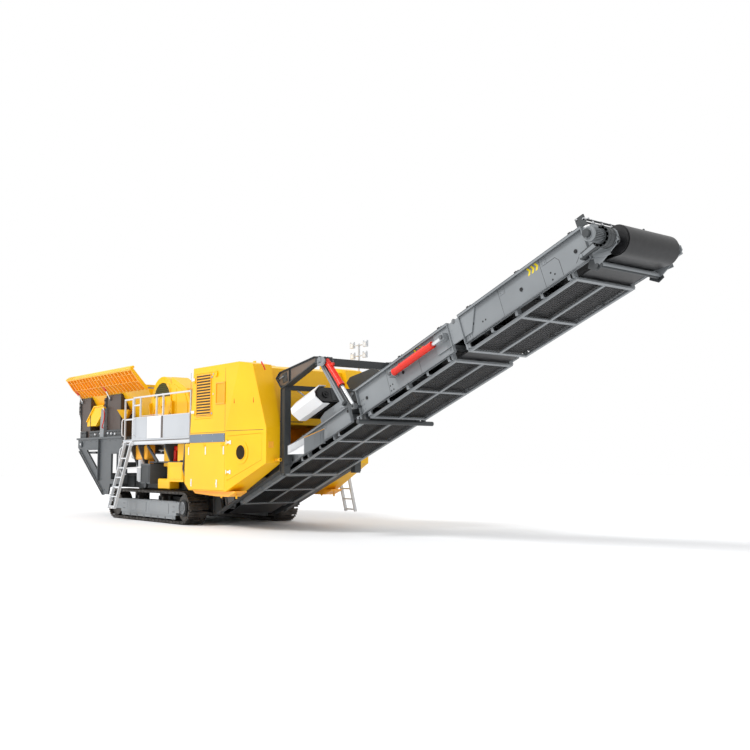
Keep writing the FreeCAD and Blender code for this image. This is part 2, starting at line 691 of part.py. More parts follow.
louvre_leaves, louvre_posts = hung((2580.0, 3320.0), on_louvre)
lower_leaves, lower_posts = hung((40.0, 850.0, 1670.0), on_lower)
vent_leaves, vent_posts = hung((1230.0, 1880.0), on_vent)
keep("pod_near", joined([pod(True)] + louvre_posts + lower_posts + vent_posts))
keep("pod_far", far(pod(False)))
keep("louvre_door", joined([louvre_leaf()] + louvre_leaves))
keep("lower_door", joined([lower_leaf()] + lower_leaves))
keep("vent_door", joined([vent_leaf()] + vent_leaves))
decks = [plat, far(plat), SHAPES["pod_near"], SHAPES["pod_far"]]
keep("platform_brackets", group(brackets + [cut(turn(lug), *decks).Solids[0] for turn, lug in ladder_lugs]))


def engine_hood():
    """Middle of the housing, between the two pods."""
    outline = [(HOUSE_REAR + 30, 2250), (2960, 2250), (2960, 2400), (2700, 3480), (2380, 3560), (280, 3560),
               (HOUSE_REAR + 30, 2300)]
    outer = side_plate(outline, -HOUSE_IN, HOUSE_IN)
    inner = side_plate(inset(outline, SHEET), -HOUSE_IN + SHEET, HOUSE_IN - SHEET)
    return outer.cut(inner)


keep("engine_hood", engine_hood())

# ---- discharge conveyor -------------------------------------------------------------------
FOLD_U = (9134.0, 9422.0)            # ends of the middle and top sections at the fold
TOP_END = HEAD_U - 384.0
GUARD_END = HEAD_U - 795.0
SECTIONS = ((u_at(5650.0, 300.0), FOLD_U[0]), (FOLD_U[1], TOP_END))


def section_sides(u0, u1, high=SIDE_HI):
    plate = slope_box(u0, u1, -SIDE_Y, -SIDE_Y + SIDE_T, SIDE_LO, high)
    top = slope_box(u0, u1, -SIDE_Y - 60, -SIDE_Y, high - SIDE_T, high)
    low = slope_box(u0, u1, -SIDE_Y - 50, -SIDE_Y, SIDE_LO, SIDE_LO + SIDE_T)
    pieces = both(joined([plate, top, low]))
    count = 3
    for i in range(count):
        u = u0 + 150 + (u1 - u0 - 380) * i / (count - 1)
        pieces.append(slope_box(u, u + 80, -SIDE_Y + SIDE_T, SIDE_Y - SIDE_T, 255, 335))
    return joined(pieces)


keep("conveyor_mid", section_sides(*SECTIONS[0]))
keep("conveyor_top", section_sides(*SECTIONS[1]))
LOW_U0, LOW_U1 = u_at(600.0, 300.0), u_at(5420.0, 300.0)
keep("conveyor_low", section_sides(LOW_U0, LOW_U1, LOW_HI))


def guards():
    """Framed screens under the conveyor: a ladder of bars on each section, with its mesh panels."""
    frames, panels = [], []
    y, w, t = SIDE_Y - 50.0, 60.0, 34.0
    for u0, u1, bays in GUARD_RUNS:
        bars = [slope_box(u0, u1, s - w / 2, s + w / 2, 0, t) for s in (-y + w / 2, 0, y - w / 2)]
        step = (u1 - u0 - w) / bays
        for i in range(bays + 1):
            u = u0 + i * step
            bars.append(slope_box(u, u + w, -y, y, 0, t))
            if i < bays:
                for a, b in ((-y + w, -w / 2), (w / 2, y - w)):
                    panels.append(slope_box(u + w, u + step, a, b, 10, 16))
        frames.append(joined(bars))
        for i in range(bays + 1):
            u = u0 + i * step + 10
            frames.append(slope_box(u, u + 40, -SIDE_Y + SIDE_T, -y + w, t, SIDE_LO + 40))
            frames.append(slope_box(u, u + 40, y - w, SIDE_Y - SIDE_T, t, SIDE_LO + 40))
    return joined(frames), group(panels)


GUARD_RUNS = (
    (u_at(3000.0, 0), u_at(5760.0, 0), 3),
    (u_at(5940.0, 0), FOLD_U[0] - 113.0, 2),
    (FOLD_U[1] - 59.0, GUARD_END, 2),
)
guard_frames, guard_mesh = guards()
keep("guard_frames", guard_frames)
keep("guard_mesh", guard_mesh)


# ---- conveyor belt and its drums ----------------------------------------------------------
CARRY_V = HEAD_V + HEAD_R + BELT_T
HEAD_C = slope_point(HEAD_U, 0, HEAD_V)
TAIL_C = Vector(TAIL_X, 0, KNEE_Z + BELT_T + TAIL_R)
RISE = HEAD_V - RETURN_V
DIP = math.asin((HEAD_R + BELT_T) / math.hypot(RISE, SNUB_BACK)) - math.atan2(RISE, SNUB_BACK)


def belt_outline(shrink):
    """Side outline of the loop: level tail run, knee, slope, snub roller, round both drums."""
    head_r, tail_r = HEAD_R + BELT_T - shrink, TAIL_R + BELT_T - shrink
    snub = slope_point(HEAD_U - SNUB_BACK + shrink * math.tan(DIP / 2), 0, RETURN_V + shrink)
    low_head = slope_point(HEAD_U - head_r * math.sin(DIP), 0, HEAD_V - head_r * math.cos(DIP))
    top_head = slope_point(HEAD_U, 0, HEAD_V + head_r)
    nose = slope_point(HEAD_U + head_r, 0, HEAD_V)
    low_tail, top_tail = TAIL_C - Vector(0, 0, tail_r), TAIL_C + Vector(0, 0, tail_r)
    back = TAIL_C - Vector(tail_r, 0, 0)

    def knee(z, point):
        return Vector(point.x + (z - point.z) / math.tan(SLOPE * RAD), 0, z)

    low_knee, top_knee = knee(low_tail.z, snub), knee(top_tail.z, top_head)
    edges = [
        Part.LineSegment(low_tail, low_knee), Part.LineSegment(low_knee, snub),
        Part.LineSegment(snub, low_head), Part.Arc(low_head, nose, top_head),
        Part.LineSegment(top_head, top_knee), Part.LineSegment(top_knee, top_tail),
        Part.Arc(top_tail, back, low_tail),
    ]
    return Part.Face(Part.Wire([e.toShape() for e in edges]))


def belt():
    outer = belt_outline(0).extrude(Vector(0, BELT_W, 0))
    inner = belt_outline(BELT_T).extrude(Vector(0, BELT_W + 20, 0))
    outer.translate(Vector(0, -BELT_W / 2, 0))
    inner.translate(Vector(0, -BELT_W / 2 - 10, 0))
    return outer.cut(inner)


keep("belt", belt())
DRUM_HALF = BELT_W / 2.0 + 20
head_shell = rod((HEAD_C.x, -DRUM_HALF, HEAD_C.z), (HEAD_C.x, DRUM_HALF, HEAD_C.z), HEAD_R - GAP)
head_shaft = rod((HEAD_C.x, -SIDE_Y - 60, HEAD_C.z), (HEAD_C.x, SIDE_Y + 40, HEAD_C.z), 45)
keep("head_drum", joined([head_shell, head_shaft]))


tail_shell = rod((TAIL_C.x, -DRUM_HALF, TAIL_C.z), (TAIL_C.x, DRUM_HALF, TAIL_C.z), TAIL_R - GAP)
tail_shaft = rod((TAIL_C.x, -FRAME_IN + 60, TAIL_C.z), (TAIL_C.x, FRAME_IN - 60, TAIL_C.z), 40)
tail_drum = joined([tail_shell, tail_shaft])


def tail_frame():
    """Level side channels between the tracks that carry the tail drum."""
    pieces = []
    for y in (-SIDE_Y, SIDE_Y - SIDE_T):
        pieces.append(box(TAIL_X - 300, 300, y, y + SIDE_T, KNEE_Z + 40, KNEE_Z + 340))
    hung = []
    for x in (-2300.0, -400.0):
        hung += both(box(x, x + 120, -FRAME_IN, -SIDE_Y, KNEE_Z + 100, FRAME_TOP - 60))
    bed = box(-2240, 240, -SIDE_Y + SIDE_T, SIDE_Y - SIDE_T, KNEE_Z + 130, KNEE_Z + 200)
    bore = rod((TAIL_C.x, -SIDE_Y - 5, TAIL_C.z), (TAIL_C.x, SIDE_Y + 5, TAIL_C.z), 40 + GAP)
    return cut(joined(pieces + hung + [bed]), bore)


keep("tail_frame", tail_frame())


def head_plates():
    """Bearing plates past the end of the conveyor's sides, with the bearing blocks."""
    u0 = SECTIONS[1][1]
    outline = [(u0, -30), (u0, SIDE_HI), (HEAD_U - 330, SIDE_HI - 60), (HEAD_U + 60, HEAD_V + 150),
               (HEAD_U + 120, HEAD_V + 60), (HEAD_U + 60, HEAD_V - 120), (HEAD_U - 300, -30)]
    plate = slope_plate(outline, -SIDE_Y, -SIDE_Y + 20)
    block = slope_box(HEAD_U - 130, HEAD_U + 130, -SIDE_Y - 50, -SIDE_Y, HEAD_V - 90, HEAD_V + 90)
    bore = rod((HEAD_C.x, -SIDE_Y - 80, HEAD_C.z), (HEAD_C.x, 0, HEAD_C.z), 45 + 0.08)
    return cut(joined([plate, block]), bore)


near_head = head_plates()


def head_drive():
    """Gear motor on the near end of the head drum's shaft, with its torque arm."""
    a, r = HEAD_C, 150.0
    y = -SIDE_Y - 64
    gear = rod((a.x, y, a.z), (a.x, y - 170, a.z), r)
    motor = rod((a.x, y - 170, a.z), (a.x, y - 430, a.z), 95)
    plug = rod((a.x, y - 430, a.z), (a.x, y - 500, a.z), 60)
    arm = slope_plate([(HEAD_U - 520, HEAD_V - 70), (HEAD_U - 520, HEAD_V + 10), (HEAD_U, HEAD_V + 80),
                       (HEAD_U, HEAD_V - 80)], y - 60, y - 20)
    foot = slope_box(HEAD_U - 520, HEAD_U - 440, y - 60, -SIDE_Y, HEAD_V - 70, HEAD_V + 10)
    return cut(joined([gear, motor, plug, arm, foot]), near_head)


keep("head_drive", head_drive())


def snub_roller():
    """Roller that lifts the return run clear of the guards, held between the bearing plates."""
    back = SNUB_BACK + (SNUB_R + GAP) * math.tan(DIP / 2)
    a = slope_point(HEAD_U - back, 0, RETURN_V - GAP - SNUB_R)
    reach = SIDE_Y - 20
    return rod((a.x, -reach, a.z), (a.x, reach, a.z), SNUB_R)


keep("head_plates", group([near_head, far(near_head), snub_roller()]))

# ---- idlers -------------------------------------------------------------------------------
IDLER_R = 55.0
idlers = []
for u0, u1, count in ((LOW_U0 + 200, LOW_U1 - 100, 4), (SECTIONS[0][0] + 250, SECTIONS[0][1] - 250, 3),
                      (SECTIONS[1][0] + 250, SECTIONS[1][1] - 250, 3)):
    for i in range(count):
        u = u0 + (u1 - u0) * i / (count - 1)
        a = slope_point(u, 0, CARRY_V - BELT_T - GAP - IDLER_R)
        reach = SIDE_Y - SIDE_T
        idlers.append(rod((a.x, -reach, a.z), (a.x, reach, a.z), IDLER_R))
fixed_sides = [SHAPES["conveyor_mid"], SHAPES["conveyor_top"], SHAPES["conveyor_low"]]
keep("idlers", group([cut(i, *fixed_sides) for i in idlers] + [tail_drum]))


# ---- fold hinge between the two upper sections --------------------------------------------
def fold_hinge():
    u0, u1 = SECTIONS[0][1], SECTIONS[1][0]
    ears = []
    for s in (-SIDE_Y - 24, SIDE_Y):
        ears.append(slope_plate([(u0 - 420, SIDE_HI - 30), (u0 - 420, SIDE_LO + 130),
                                 (u1 + 200, SIDE_LO + 130), (u1 + 420, SIDE_HI - 30)], s, s + 24))
    return [cut(e, SHAPES["conveyor_mid"], SHAPES["conveyor_top"]) for e in ears]


fold_ears = fold_hinge()

FOLD_Y = SIDE_Y + 100.0
FOLD_V = 437.0
FOLD_U0, FOLD_U1, FOLD_U2 = u_at(6830.0, FOLD_V), u_at(7890.0, FOLD_V), u_at(8120.0, FOLD_V)


def fold_cylinder():
    a, b, c = [slope_point(u, -FOLD_Y, FOLD_V) for u in (FOLD_U0, FOLD_U1, FOLD_U2)]
    return rod(a, b, 62), rod(b, c, 32)


def fold_lugs():
    lugs = []
    for u in (FOLD_U0, FOLD_U2):
        a, w = (u - 110, u) if u == FOLD_U0 else (u, u + 110), 45
        lugs.append(slope_box(a[0], a[1], -FOLD_Y - w, -SIDE_Y, FOLD_V - 60, FOLD_V + 60))
    return [cut(l, fold_ears[0], SHAPES["conveyor_mid"]) for l in lugs]


barrel, piston = fold_cylinder()
barrels, rods = both(barrel), both(piston)
keep("fold_plates", group(fold_ears + [p for lug in fold_lugs() for p in both(lug)]))

# ---- gantry over the magnet ---------------------------------------------------------------
GANTRY_W = 140.0
GANTRY_Y = FRAME_IN + CHEEK_T + GANTRY_W / 2.0
ARM_TOP = (4560.0, 3480.0)
POST_X = 3330.0


def gantry():
    pieces = []
    y0, y1 = -GANTRY_Y - GANTRY_W / 2, -GANTRY_Y + GANTRY_W / 2
    post = box(POST_X - 80, POST_X + 80, y0, y1, 1220, 3060)
    x, z = ARM_TOP
    arm = side_plate([(POST_X - 50, 2990), (POST_X - 260, 3220), (POST_X - 120, 3340), (x - 60, z + 85),
                      (x + 190, z + 60), (x + 190, z - 60), (x - 60, z - 50), (POST_X + 110, 3030)], y0, y1)
    lugs = [box(x + 80, x + 310, y, y + 25, z - 90, z + 50) for y in (y0 - 25, y1)]
    pieces += both(joined([post, arm] + lugs))
    pieces.append(box(x - 60, x + 60, y0, -y0, z - 90, z + 60))
    pieces.append(box(POST_X - 60, POST_X + 60, y0, -y0, 2960, 3060))
    return cut(joined(pieces), frame)


strut = bar((ARM_TOP[0] + 60, -GANTRY_Y + 20, ARM_TOP[1] - 50), (5400, -GANTRY_Y + 20, 2560), 70, 90)
gantry_shape = keep("gantry", cut(joined([gantry()] + both(strut)), SHAPES["conveyor_low"]))

LIFT_Y = GANTRY_Y
LIFT_TOP = Vector(ARM_TOP[0] + 242.0, -LIFT_Y, ARM_TOP[1] - 25.0)
LIFT_RUN = Vector(945.0, 0, -975.0)
LIFT_MID = LIFT_TOP + LIFT_RUN * 0.54
LIFT_FOOT = LIFT_TOP + LIFT_RUN
barrels += both(rod(LIFT_TOP, LIFT_MID, 62))
rods += both(rod(LIFT_MID, LIFT_FOOT, 33))


def lift_pins(radius):
    top, foot = LIFT_TOP + LIFT_RUN * 0.032, LIFT_FOOT - LIFT_RUN * 0.03
    top_pin = rod((top.x, -LIFT_Y + 105, top.z), (top.x, -LIFT_Y - 105, top.z), radius)
    foot_pin = rod((foot.x, -SIDE_Y, foot.z), (foot.x, -LIFT_Y - 60, foot.z), radius)
    return [piece for pin in (cut(top_pin, gantry_shape), foot_pin) for piece in both(pin)]


pins = lift_pins(26.0)

# ---- overband magnet ----------------------------------------------------------------------
MAG_U0, MAG_U1 = u_at(3880.0, 900.0), u_at(4700.0, 900.0)
MAG_V0, MAG_V1 = 760.0, 1090.0
MAG_Y = 1080.0
MAG_R = (MAG_V1 - MAG_V0) / 2.0
MAG_V = (MAG_V0 + MAG_V1) / 2.0


def oval(shrink, u0, u1):
    """Round-ended block across the conveyor: the magnet inside its cleaning belt."""
    y, r = MAG_Y - MAG_R, MAG_R - shrink
    ends = [rod(slope_point(u0, s, MAG_V), slope_point(u1, s, MAG_V), r) for s in (-y, y)]
    return joined([slope_box(u0, u1, -y, y, MAG_V - r, MAG_V + r)] + ends)


keep("magnet", joined([oval(0, MAG_U0 + 50, MAG_U1 - 50), oval(14, MAG_U0, MAG_U1)]))


def magnet_cover():
    """Folded sheet guard round the near end and the underside."""
    e, t = -MAG_Y - 50, 12.0
    low, high = MAG_V0 - 40, MAG_V1 + 30
    outer = [(-820, high), (e + 150, high), (e, MAG_V + 60), (e, MAG_V - 60), (e + 150, low), (-820, low)]
    inner = [(-800, high - t), (e + 155, high - t), (e + t, MAG_V + 55), (e + t, MAG_V - 55),
             (e + 155, low + t), (-800, low + t)]

    def along(outline, u0, u1):
        run = slope_point(u1, 0, 0) - slope_point(u0, 0, 0)
        return prism([slope_point(u0, y, v) for y, v in outline], run)

    wrap = along(outer, MAG_U0 - t, MAG_U1 + 10).cut(along(inner, MAG_U0 - 30, MAG_U1 + 20))
    back = along(outer, MAG_U0 - t, MAG_U0)
    return joined([wrap, back])


keep("magnet_cover", magnet_cover())


CHUTE_Z = slope_point(u_at(4300.0, 300.0), 0, 300.0).z - 130.0


def magnet_chute():
    """Open channel that throws the caught iron out on the near side."""
    y0, y1, t = -SIDE_Y - 70.0, -HALF + 200.0, 12.0
    z0, z1 = CHUTE_Z, CHUTE_Z - 250.0
    x0, x1 = 4000.0, 4600.0
    floor = cross_plate([(y0, z0), (y1, z1), (y1, z1 + t), (y0, z0 + t)], x0, x1)
    walls = [cross_plate([(y0, z0), (y1, z1), (y1, z1 + mouth), (y0, z0 + root)], x, x + t)
             for x, mouth, root in ((x0, 180, 140), (x1 - t, 330, 260))]
    return joined([floor] + walls)


chute_bars = [box(x, x + 60, -SIDE_Y - 70, -SIDE_Y, CHUTE_Z - 30, CHUTE_Z + 50) for x in (4060.0, 4480.0)]
keep("magnet_chute", cut(joined([magnet_chute()] + chute_bars), SHAPES["conveyor_low"], SHAPES["belt"]))


def hangers():
    """Chains from the gantry's cross beams down to the magnet."""
    links = []
    for u, x, z in ((MAG_U0 + 90, POST_X, 2960), (MAG_U1 - 90, ARM_TOP[0], ARM_TOP[1] - 90)):
        for y in (-620.0, 620.0):
            links.append(rod(slope_point(u, y, MAG_V1 - 15), (x, y, z), 18))
    return [cut(link, gantry_shape, SHAPES["magnet"], SHAPES["magnet_cover"]) for link in links]


# ---- spray bar, spreader tube and light mast ----------------------------------------------
def spray_bar():
    """Two rails on stalks over the discharge head."""
    a = slope_point(SECTIONS[1][1] - 60, 0, SIDE_HI + 150)
    b = slope_point(SECTIONS[1][1] + 60, 0, SIDE_HI + 100)
    pieces = [rod((p.x, -SIDE_Y, p.z), (p.x, SIDE_Y, p.z), 16) for p in (a, b)]
    for y in (-SIDE_Y, SIDE_Y - 24):
        pieces.append(slope_box(SECTIONS[1][1] - 90, SECTIONS[1][1] + 80, y, y + 24, SIDE_HI, SIDE_HI + 175))
    return joined(pieces)


keep("spray_bar", spray_bar())
SPREAD = slope_point(u_at(5850.0, 0), 0, -30.0)
spread = [rod((SPREAD.x, -940, SPREAD.z), (SPREAD.x, 940, SPREAD.z), 45)]
for y in (-SIDE_Y + 2, SIDE_Y - 62):
    spread.append(slope_box(u_at(5850.0, 0) - 40, u_at(5850.0, 0) + 40, y, y + 60, -40, SIDE_LO))
keep("cross_tube", cut(joined(spread), guard_frames, SHAPES["conveyor_mid"]))
MAST_X, MAST_Y = 2740.0, 1450.0


def light_mast():
    """Folding work-light mast on brackets at the far side's front corner."""
    pieces = [rod((MAST_X, MAST_Y, 3150), (MAST_X, MAST_Y, 4180), 26)]
    pieces += [box(MAST_X - 30, MAST_X + 30, MAST_Y - 200, MAST_Y, z, z + 50) for z in (3180.0, 3380.0)]
    for z, reach in ((4150.0, 190.0), (3900.0, 170.0)):
        pieces.append(rod((MAST_X - reach, MAST_Y, z), (MAST_X + reach, MAST_Y, z), 14))
        for s in (-1, 1):
            x = MAST_X + s * (reach + 60)
            pieces.append(box(x - 65, x + 65, MAST_Y - 30, MAST_Y + 30, z - 60, z + 60))
    return max(cut(joined(pieces), SHAPES["pod_far"]).Solids, key=lambda s: s.Volume)


keep("light_mast", light_mast())

# ---- flap cylinders and wedge arms on the hopper ------------------------------------------
for x in (-6925.0, -4935.0):
    foot = Vector(x, -HOPPER_TOP_Y - 20, HOPPER_TOP - 160)
    top = Vector(x, -HOPPER_TOP_Y - FLAP_OUT * 0.72, HOPPER_TOP + FLAP_UP * 0.72)
    mid = foot + (top - foot) * 0.45
    rods += both(rod(foot, mid, 22))
    barrels += both(rod(mid, top, 36))


def biggest(shape):
    return max(shape.Solids, key=lambda s: s.Volume)


barrel_blocks = [gantry_shape, SHAPES["side_flap_near"], SHAPES["side_flap_far"]] + lift_pins(26.3)
keep("cylinder_barrels", group([biggest(cut(b, *barrel_blocks)) for b in barrels]))
keep("cylinder_rods", group([biggest(cut(r, *(lift_pins(26.3) + posts))) for r in rods]))
keep("gantry", group([gantry_shape] + pins))
keep("magnet_chains", group(hangers()))


def wedge_arms():
    """Locking arms that hold the raised side flaps."""
    x, y, foot, head = HOPPER_POSTS[1][0] - 210, -HOPPER_TOP_Y - 12, REAR_PLATE_TOP + 50, HOPPER_TOP - 380
    arm = cross_plate([(y - 98, HOPPER_SEAT - 60), (y - 68, head), (y, head), (y, foot), (y - 98, foot)],
                      x, x + 260)
    return group(both(cut(arm, hop, SHAPES["hopper_posts"])))


keep("wedge_arms", wedge_arms())

# ---- boxes below the near platform --------------------------------------------------------
cabinet = box(-2700.0, -2150.0, -PLAT_IN - 320, -FRAME_OUT, FRAME_TOP - 200, FRAME_TOP + 300)
keep("valve_cabinet", group(both(cabinet)))
tank = box(-1150.0, -320.0, -PLAT_IN - 330, -FRAME_OUT, FRAME_TOP - 130, FRAME_TOP + 330)
keep("tanks", group(both(tank)))

# ---- write the pieces ---------------------------------------------------------------------
REAR_END = HOPPER_REAR - REAR_FLAP_OUT - 60.0
HEAD_END = HEAD_C.x + HEAD_R + BELT_T
MIDDLE = (REAR_END + HEAD_END) / 2.0

os.makedirs("parts", exist_ok=True)
for name, shape in SHAPES.items():
    shape = shape.copy()
    shape.translate(Vector(-MIDDLE, 0, 0))
    shape.exportStep("parts/" + name + ".step")
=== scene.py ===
import math

import bpy
from mathutils import Matrix, Vector


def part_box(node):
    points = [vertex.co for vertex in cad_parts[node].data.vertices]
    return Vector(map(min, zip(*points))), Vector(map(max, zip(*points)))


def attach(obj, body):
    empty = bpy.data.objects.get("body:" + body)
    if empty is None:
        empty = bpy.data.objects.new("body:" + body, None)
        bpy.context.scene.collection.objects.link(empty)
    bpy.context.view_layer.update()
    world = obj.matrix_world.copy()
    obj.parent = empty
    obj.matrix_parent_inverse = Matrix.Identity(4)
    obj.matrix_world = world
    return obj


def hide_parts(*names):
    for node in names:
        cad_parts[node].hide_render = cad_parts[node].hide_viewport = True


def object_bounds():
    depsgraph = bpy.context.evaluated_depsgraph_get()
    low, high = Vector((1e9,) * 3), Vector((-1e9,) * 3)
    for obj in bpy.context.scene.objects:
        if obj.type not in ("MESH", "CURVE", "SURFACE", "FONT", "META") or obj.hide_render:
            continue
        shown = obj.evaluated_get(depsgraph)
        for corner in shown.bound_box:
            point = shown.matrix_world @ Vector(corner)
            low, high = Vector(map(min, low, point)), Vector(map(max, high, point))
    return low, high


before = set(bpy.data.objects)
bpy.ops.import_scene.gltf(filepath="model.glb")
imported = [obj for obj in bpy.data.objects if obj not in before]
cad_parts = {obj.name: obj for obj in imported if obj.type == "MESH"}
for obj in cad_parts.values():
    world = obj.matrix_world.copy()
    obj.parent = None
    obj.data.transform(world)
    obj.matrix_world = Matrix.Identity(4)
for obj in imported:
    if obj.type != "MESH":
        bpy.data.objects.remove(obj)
cad_box = [list(corner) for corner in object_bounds()]

# ---- the yard, the light and the camera -----------------------------------------------------
# A pale, level yard under an overcast sky, with one soft sun over the near rear corner, so that
# the sides are bright and the end faces and the underside of the conveyor fall into shade.
TRACK_REACH = 0.195
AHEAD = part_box("track_chain_near")[1].x - TRACK_REACH


def at(x, y, z):
    """A place given from the front end of the tracks' ground contact, in the frame's metres."""
    return Vector((x + AHEAD, y, z))


def linear(code):
    """An sRGB hex colour as the linear values that shaders take."""
    parts = [int(code[i:i + 2], 16) / 255 for i in (1, 3, 5)]
    return [c / 12.92 if c <= 0.04045 else ((c + 0.055) / 1.055) ** 2.4 for c in parts] + [1.0]


def add(tree, kind, settings=None, inputs=None):
    """A node with its settings, and its inputs set to values or linked."""
    node = tree.nodes.new("ShaderNode" + kind)
    for name, value in (settings or {}).items():
        setattr(node, name, value)
    for name, value in (inputs or {}).items():
        if isinstance(value, bpy.types.NodeSocket):
            tree.links.new(value, node.inputs[name])
        else:
            node.inputs[name].default_value = value
    return node


def material(name):
    """An empty node material, its tree, and the place on the object that its textures start from."""
    made = bpy.data.materials.new(name)
    made.use_nodes = True
    made.node_tree.nodes.clear()
    return made, made.node_tree, add(made.node_tree, "TexCoord").outputs["Object"]


def noise(tree, spot, settings):
    return add(tree, "TexNoise", None, {"Vector": spot, **settings})


def mixed(tree, share, first, second):
    """Two colours mixed by a share of the second."""
    return add(tree, "Mix", {"data_type": "RGBA"}, {0: share, 6: first, 7: second})


def times(tree, first, second):
    return add(tree, "Math", {"operation": "MULTIPLY"}, {0: first, 1: second})


def surface(tree, shader):
    return add(tree, "OutputMaterial", None, {"Surface": shader.outputs[0]})


def idle():
    """Back to object mode with nothing selected."""
    if bpy.context.object and bpy.context.object.mode != "OBJECT":
        bpy.ops.object.mode_set(mode="OBJECT")
    bpy.ops.object.select_all(action="DESELECT")


idle()
bpy.ops.mesh.primitive_plane_add(size=160, location=(0, 0, -0.004))
yard = bpy.context.object
yard.name = "yard"
concrete, tree, spot = material("pale_concrete")
mottle = noise(tree, spot, {"Scale": 0.35, "Detail": 4.0})
tint = mixed(tree, mottle.outputs["Fac"], linear("#E9EAEC"), linear("#F4F5F6"))
skin = add(tree, "BsdfPrincipled", None, {"Base Color": tint.outputs[2], "Roughness": 0.7})
surface(tree, skin)
yard.data.materials.append(concrete)

bpy.context.scene.view_settings.view_transform = "Standard"
world = bpy.data.worlds.new("overcast")
bpy.context.scene.world = world
world.use_nodes = True
sky = world.node_tree.nodes["Background"]
sky.inputs["Color"].default_value = linear("#FFFFFF")
sky.inputs["Strength"].default_value = 1.0

idle()
bpy.ops.object.light_add(type="SUN", rotation=(math.radians(48), 0, math.radians(-32)))
sun = bpy.context.object
sun.data.energy = 1.9
sun.data.angle = math.radians(18)
bpy.ops.object.light_add(type="AREA", location=at(16, -20, 9), rotation=(math.radians(62), 0,
                                                                         math.radians(40)))
fill = bpy.context.object
fill.data.energy = 60
fill.data.size = 14

BEYOND_HEAD = 8.459
idle()
bpy.ops.object.camera_add(location=(cad_box[1][0] + BEYOND_HEAD, -11.894, 1.42),
                          rotation=(math.radians(95.26), 0, math.radians(51.93)))
camera = bpy.context.object
camera.data.sensor_width = 36
camera.data.lens = 46.2
camera.data.clip_end = 400
bpy.context.scene.camera = camera

# ---- crawler tracks -------------------------------------------------------------------------
# Two steel tracks: triple-bar shoes pressed from boron steel and bolted to forged links, running
# round a cast idler and a sprocket. The track beams are welded plate, painted grey.
TRACK_MID = 0.385
CHAIN_INNER = 0.315
CHAIN_LINE = CHAIN_INNER + 0.02
SPROCKET = -0.19
IDLER = -4.075
SHOES = 52
TRACK_FACE = 1.4605


def block(low, high, soft=0.004):
    """A box between two corners, its edges eased by a bevel."""
    idle()
    low, high = Vector(low), Vector(high)
    bpy.ops.mesh.primitive_cube_add(size=1, location=(low + high) / 2)
    piece = bpy.context.object
    piece.scale = high - low
    bpy.ops.object.transform_apply(location=True, rotation=True, scale=True)
    if soft:
        bpy.ops.object.mode_set(mode="EDIT")
        bpy.ops.mesh.select_all(action="SELECT")
        bpy.ops.mesh.bevel(offset=soft, segments=1, affect="EDGES")
        bpy.ops.object.mode_set(mode="OBJECT")
    return piece


def choose_faces(piece, wanted):
    """Goes into edit mode with only the faces selected that the test picks by middle and normal."""
    idle()
    piece.select_set(True)
    bpy.context.view_layer.objects.active = piece
    bpy.ops.object.mode_set(mode="EDIT")
    bpy.ops.mesh.select_mode(type="FACE")
    bpy.ops.mesh.select_all(action="DESELECT")
    bpy.ops.object.mode_set(mode="OBJECT")
    for face in piece.data.polygons:
        face.select = wanted(face.center, face.normal)
    bpy.ops.object.mode_set(mode="EDIT")


def tube(start, end, radius, sides=24, soft=0.003, ends=None):
    """A round bar from start to end with eased rims; ends is its other radius, for a cone."""
    idle()
    start, end = Vector(start), Vector(end)
    run = end - start
    bpy.ops.mesh.primitive_cone_add(vertices=sides, radius1=radius, radius2=radius if ends is None else ends,
                                    depth=run.length, location=(start + end) / 2,
                                    rotation=run.to_track_quat("Z", "Y").to_euler())
    piece = bpy.context.object
    bpy.ops.object.transform_apply(location=True, rotation=True, scale=True)
    way = run.normalized()
    if soft:
        choose_faces(piece, lambda middle, normal: abs(normal.dot(way)) > 0.99)
        bpy.ops.mesh.bevel(offset=soft, segments=1, affect="EDGES")
    idle()
    return piece


def pocket(piece, wanted, rim, depth):
    """Sinks the chosen faces by depth inside a rim."""
    choose_faces(piece, wanted)
    bpy.ops.mesh.inset(thickness=rim, depth=0)
    bpy.ops.mesh.inset(thickness=0.0005, depth=-depth)
    idle()
    return piece


def outer(side):
    """The test for faces that look straight out of the near or the far side."""
    return lambda middle, normal: normal.y * side > 0.99


def joined(pieces):
    """One piece made of all those in a list."""
    idle()
    for piece in pieces:
        piece.select_set(True)
    bpy.context.view_layer.objects.active = pieces[0]
    if len(pieces) > 1:
        bpy.ops.object.join()
    return bpy.context.object


def spread(model, moves):
    """Copies of a finished model, each moved or turned, with the model itself used up, as one piece."""
    copies = []
    for move in moves:
        twin = model.copy()
        twin.data = model.data.copy()
        twin.data.transform(move)
        bpy.context.collection.objects.link(twin)
        copies.append(twin)
    bpy.data.objects.remove(model)
    return joined(copies)


def fit(piece, name, finish, body="plant", smooth=None):
    """Names a piece, or a list joined to one, gives it material, and fixes it to its body."""
    piece = joined(piece) if isinstance(piece, list) else piece
    idle()
    piece.name = name
    piece.data.name = name
    piece.data.materials.clear()
    piece.data.materials.append(finish)
    if smooth:
        piece.select_set(True)
        bpy.context.view_layer.objects.active = piece
        bpy.ops.object.shade_smooth_by_angle(angle=math.radians(smooth))
    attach(piece, body)
    return piece


def coat_nodes(finish, *nodes):
    for name in nodes:
        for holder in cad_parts[name].material_slots:
            holder.material = finish


def move(offset, turn=0.0, axis="Z"):
    return Matrix.Translation(offset) @ Matrix.Rotation(turn, 4, axis)


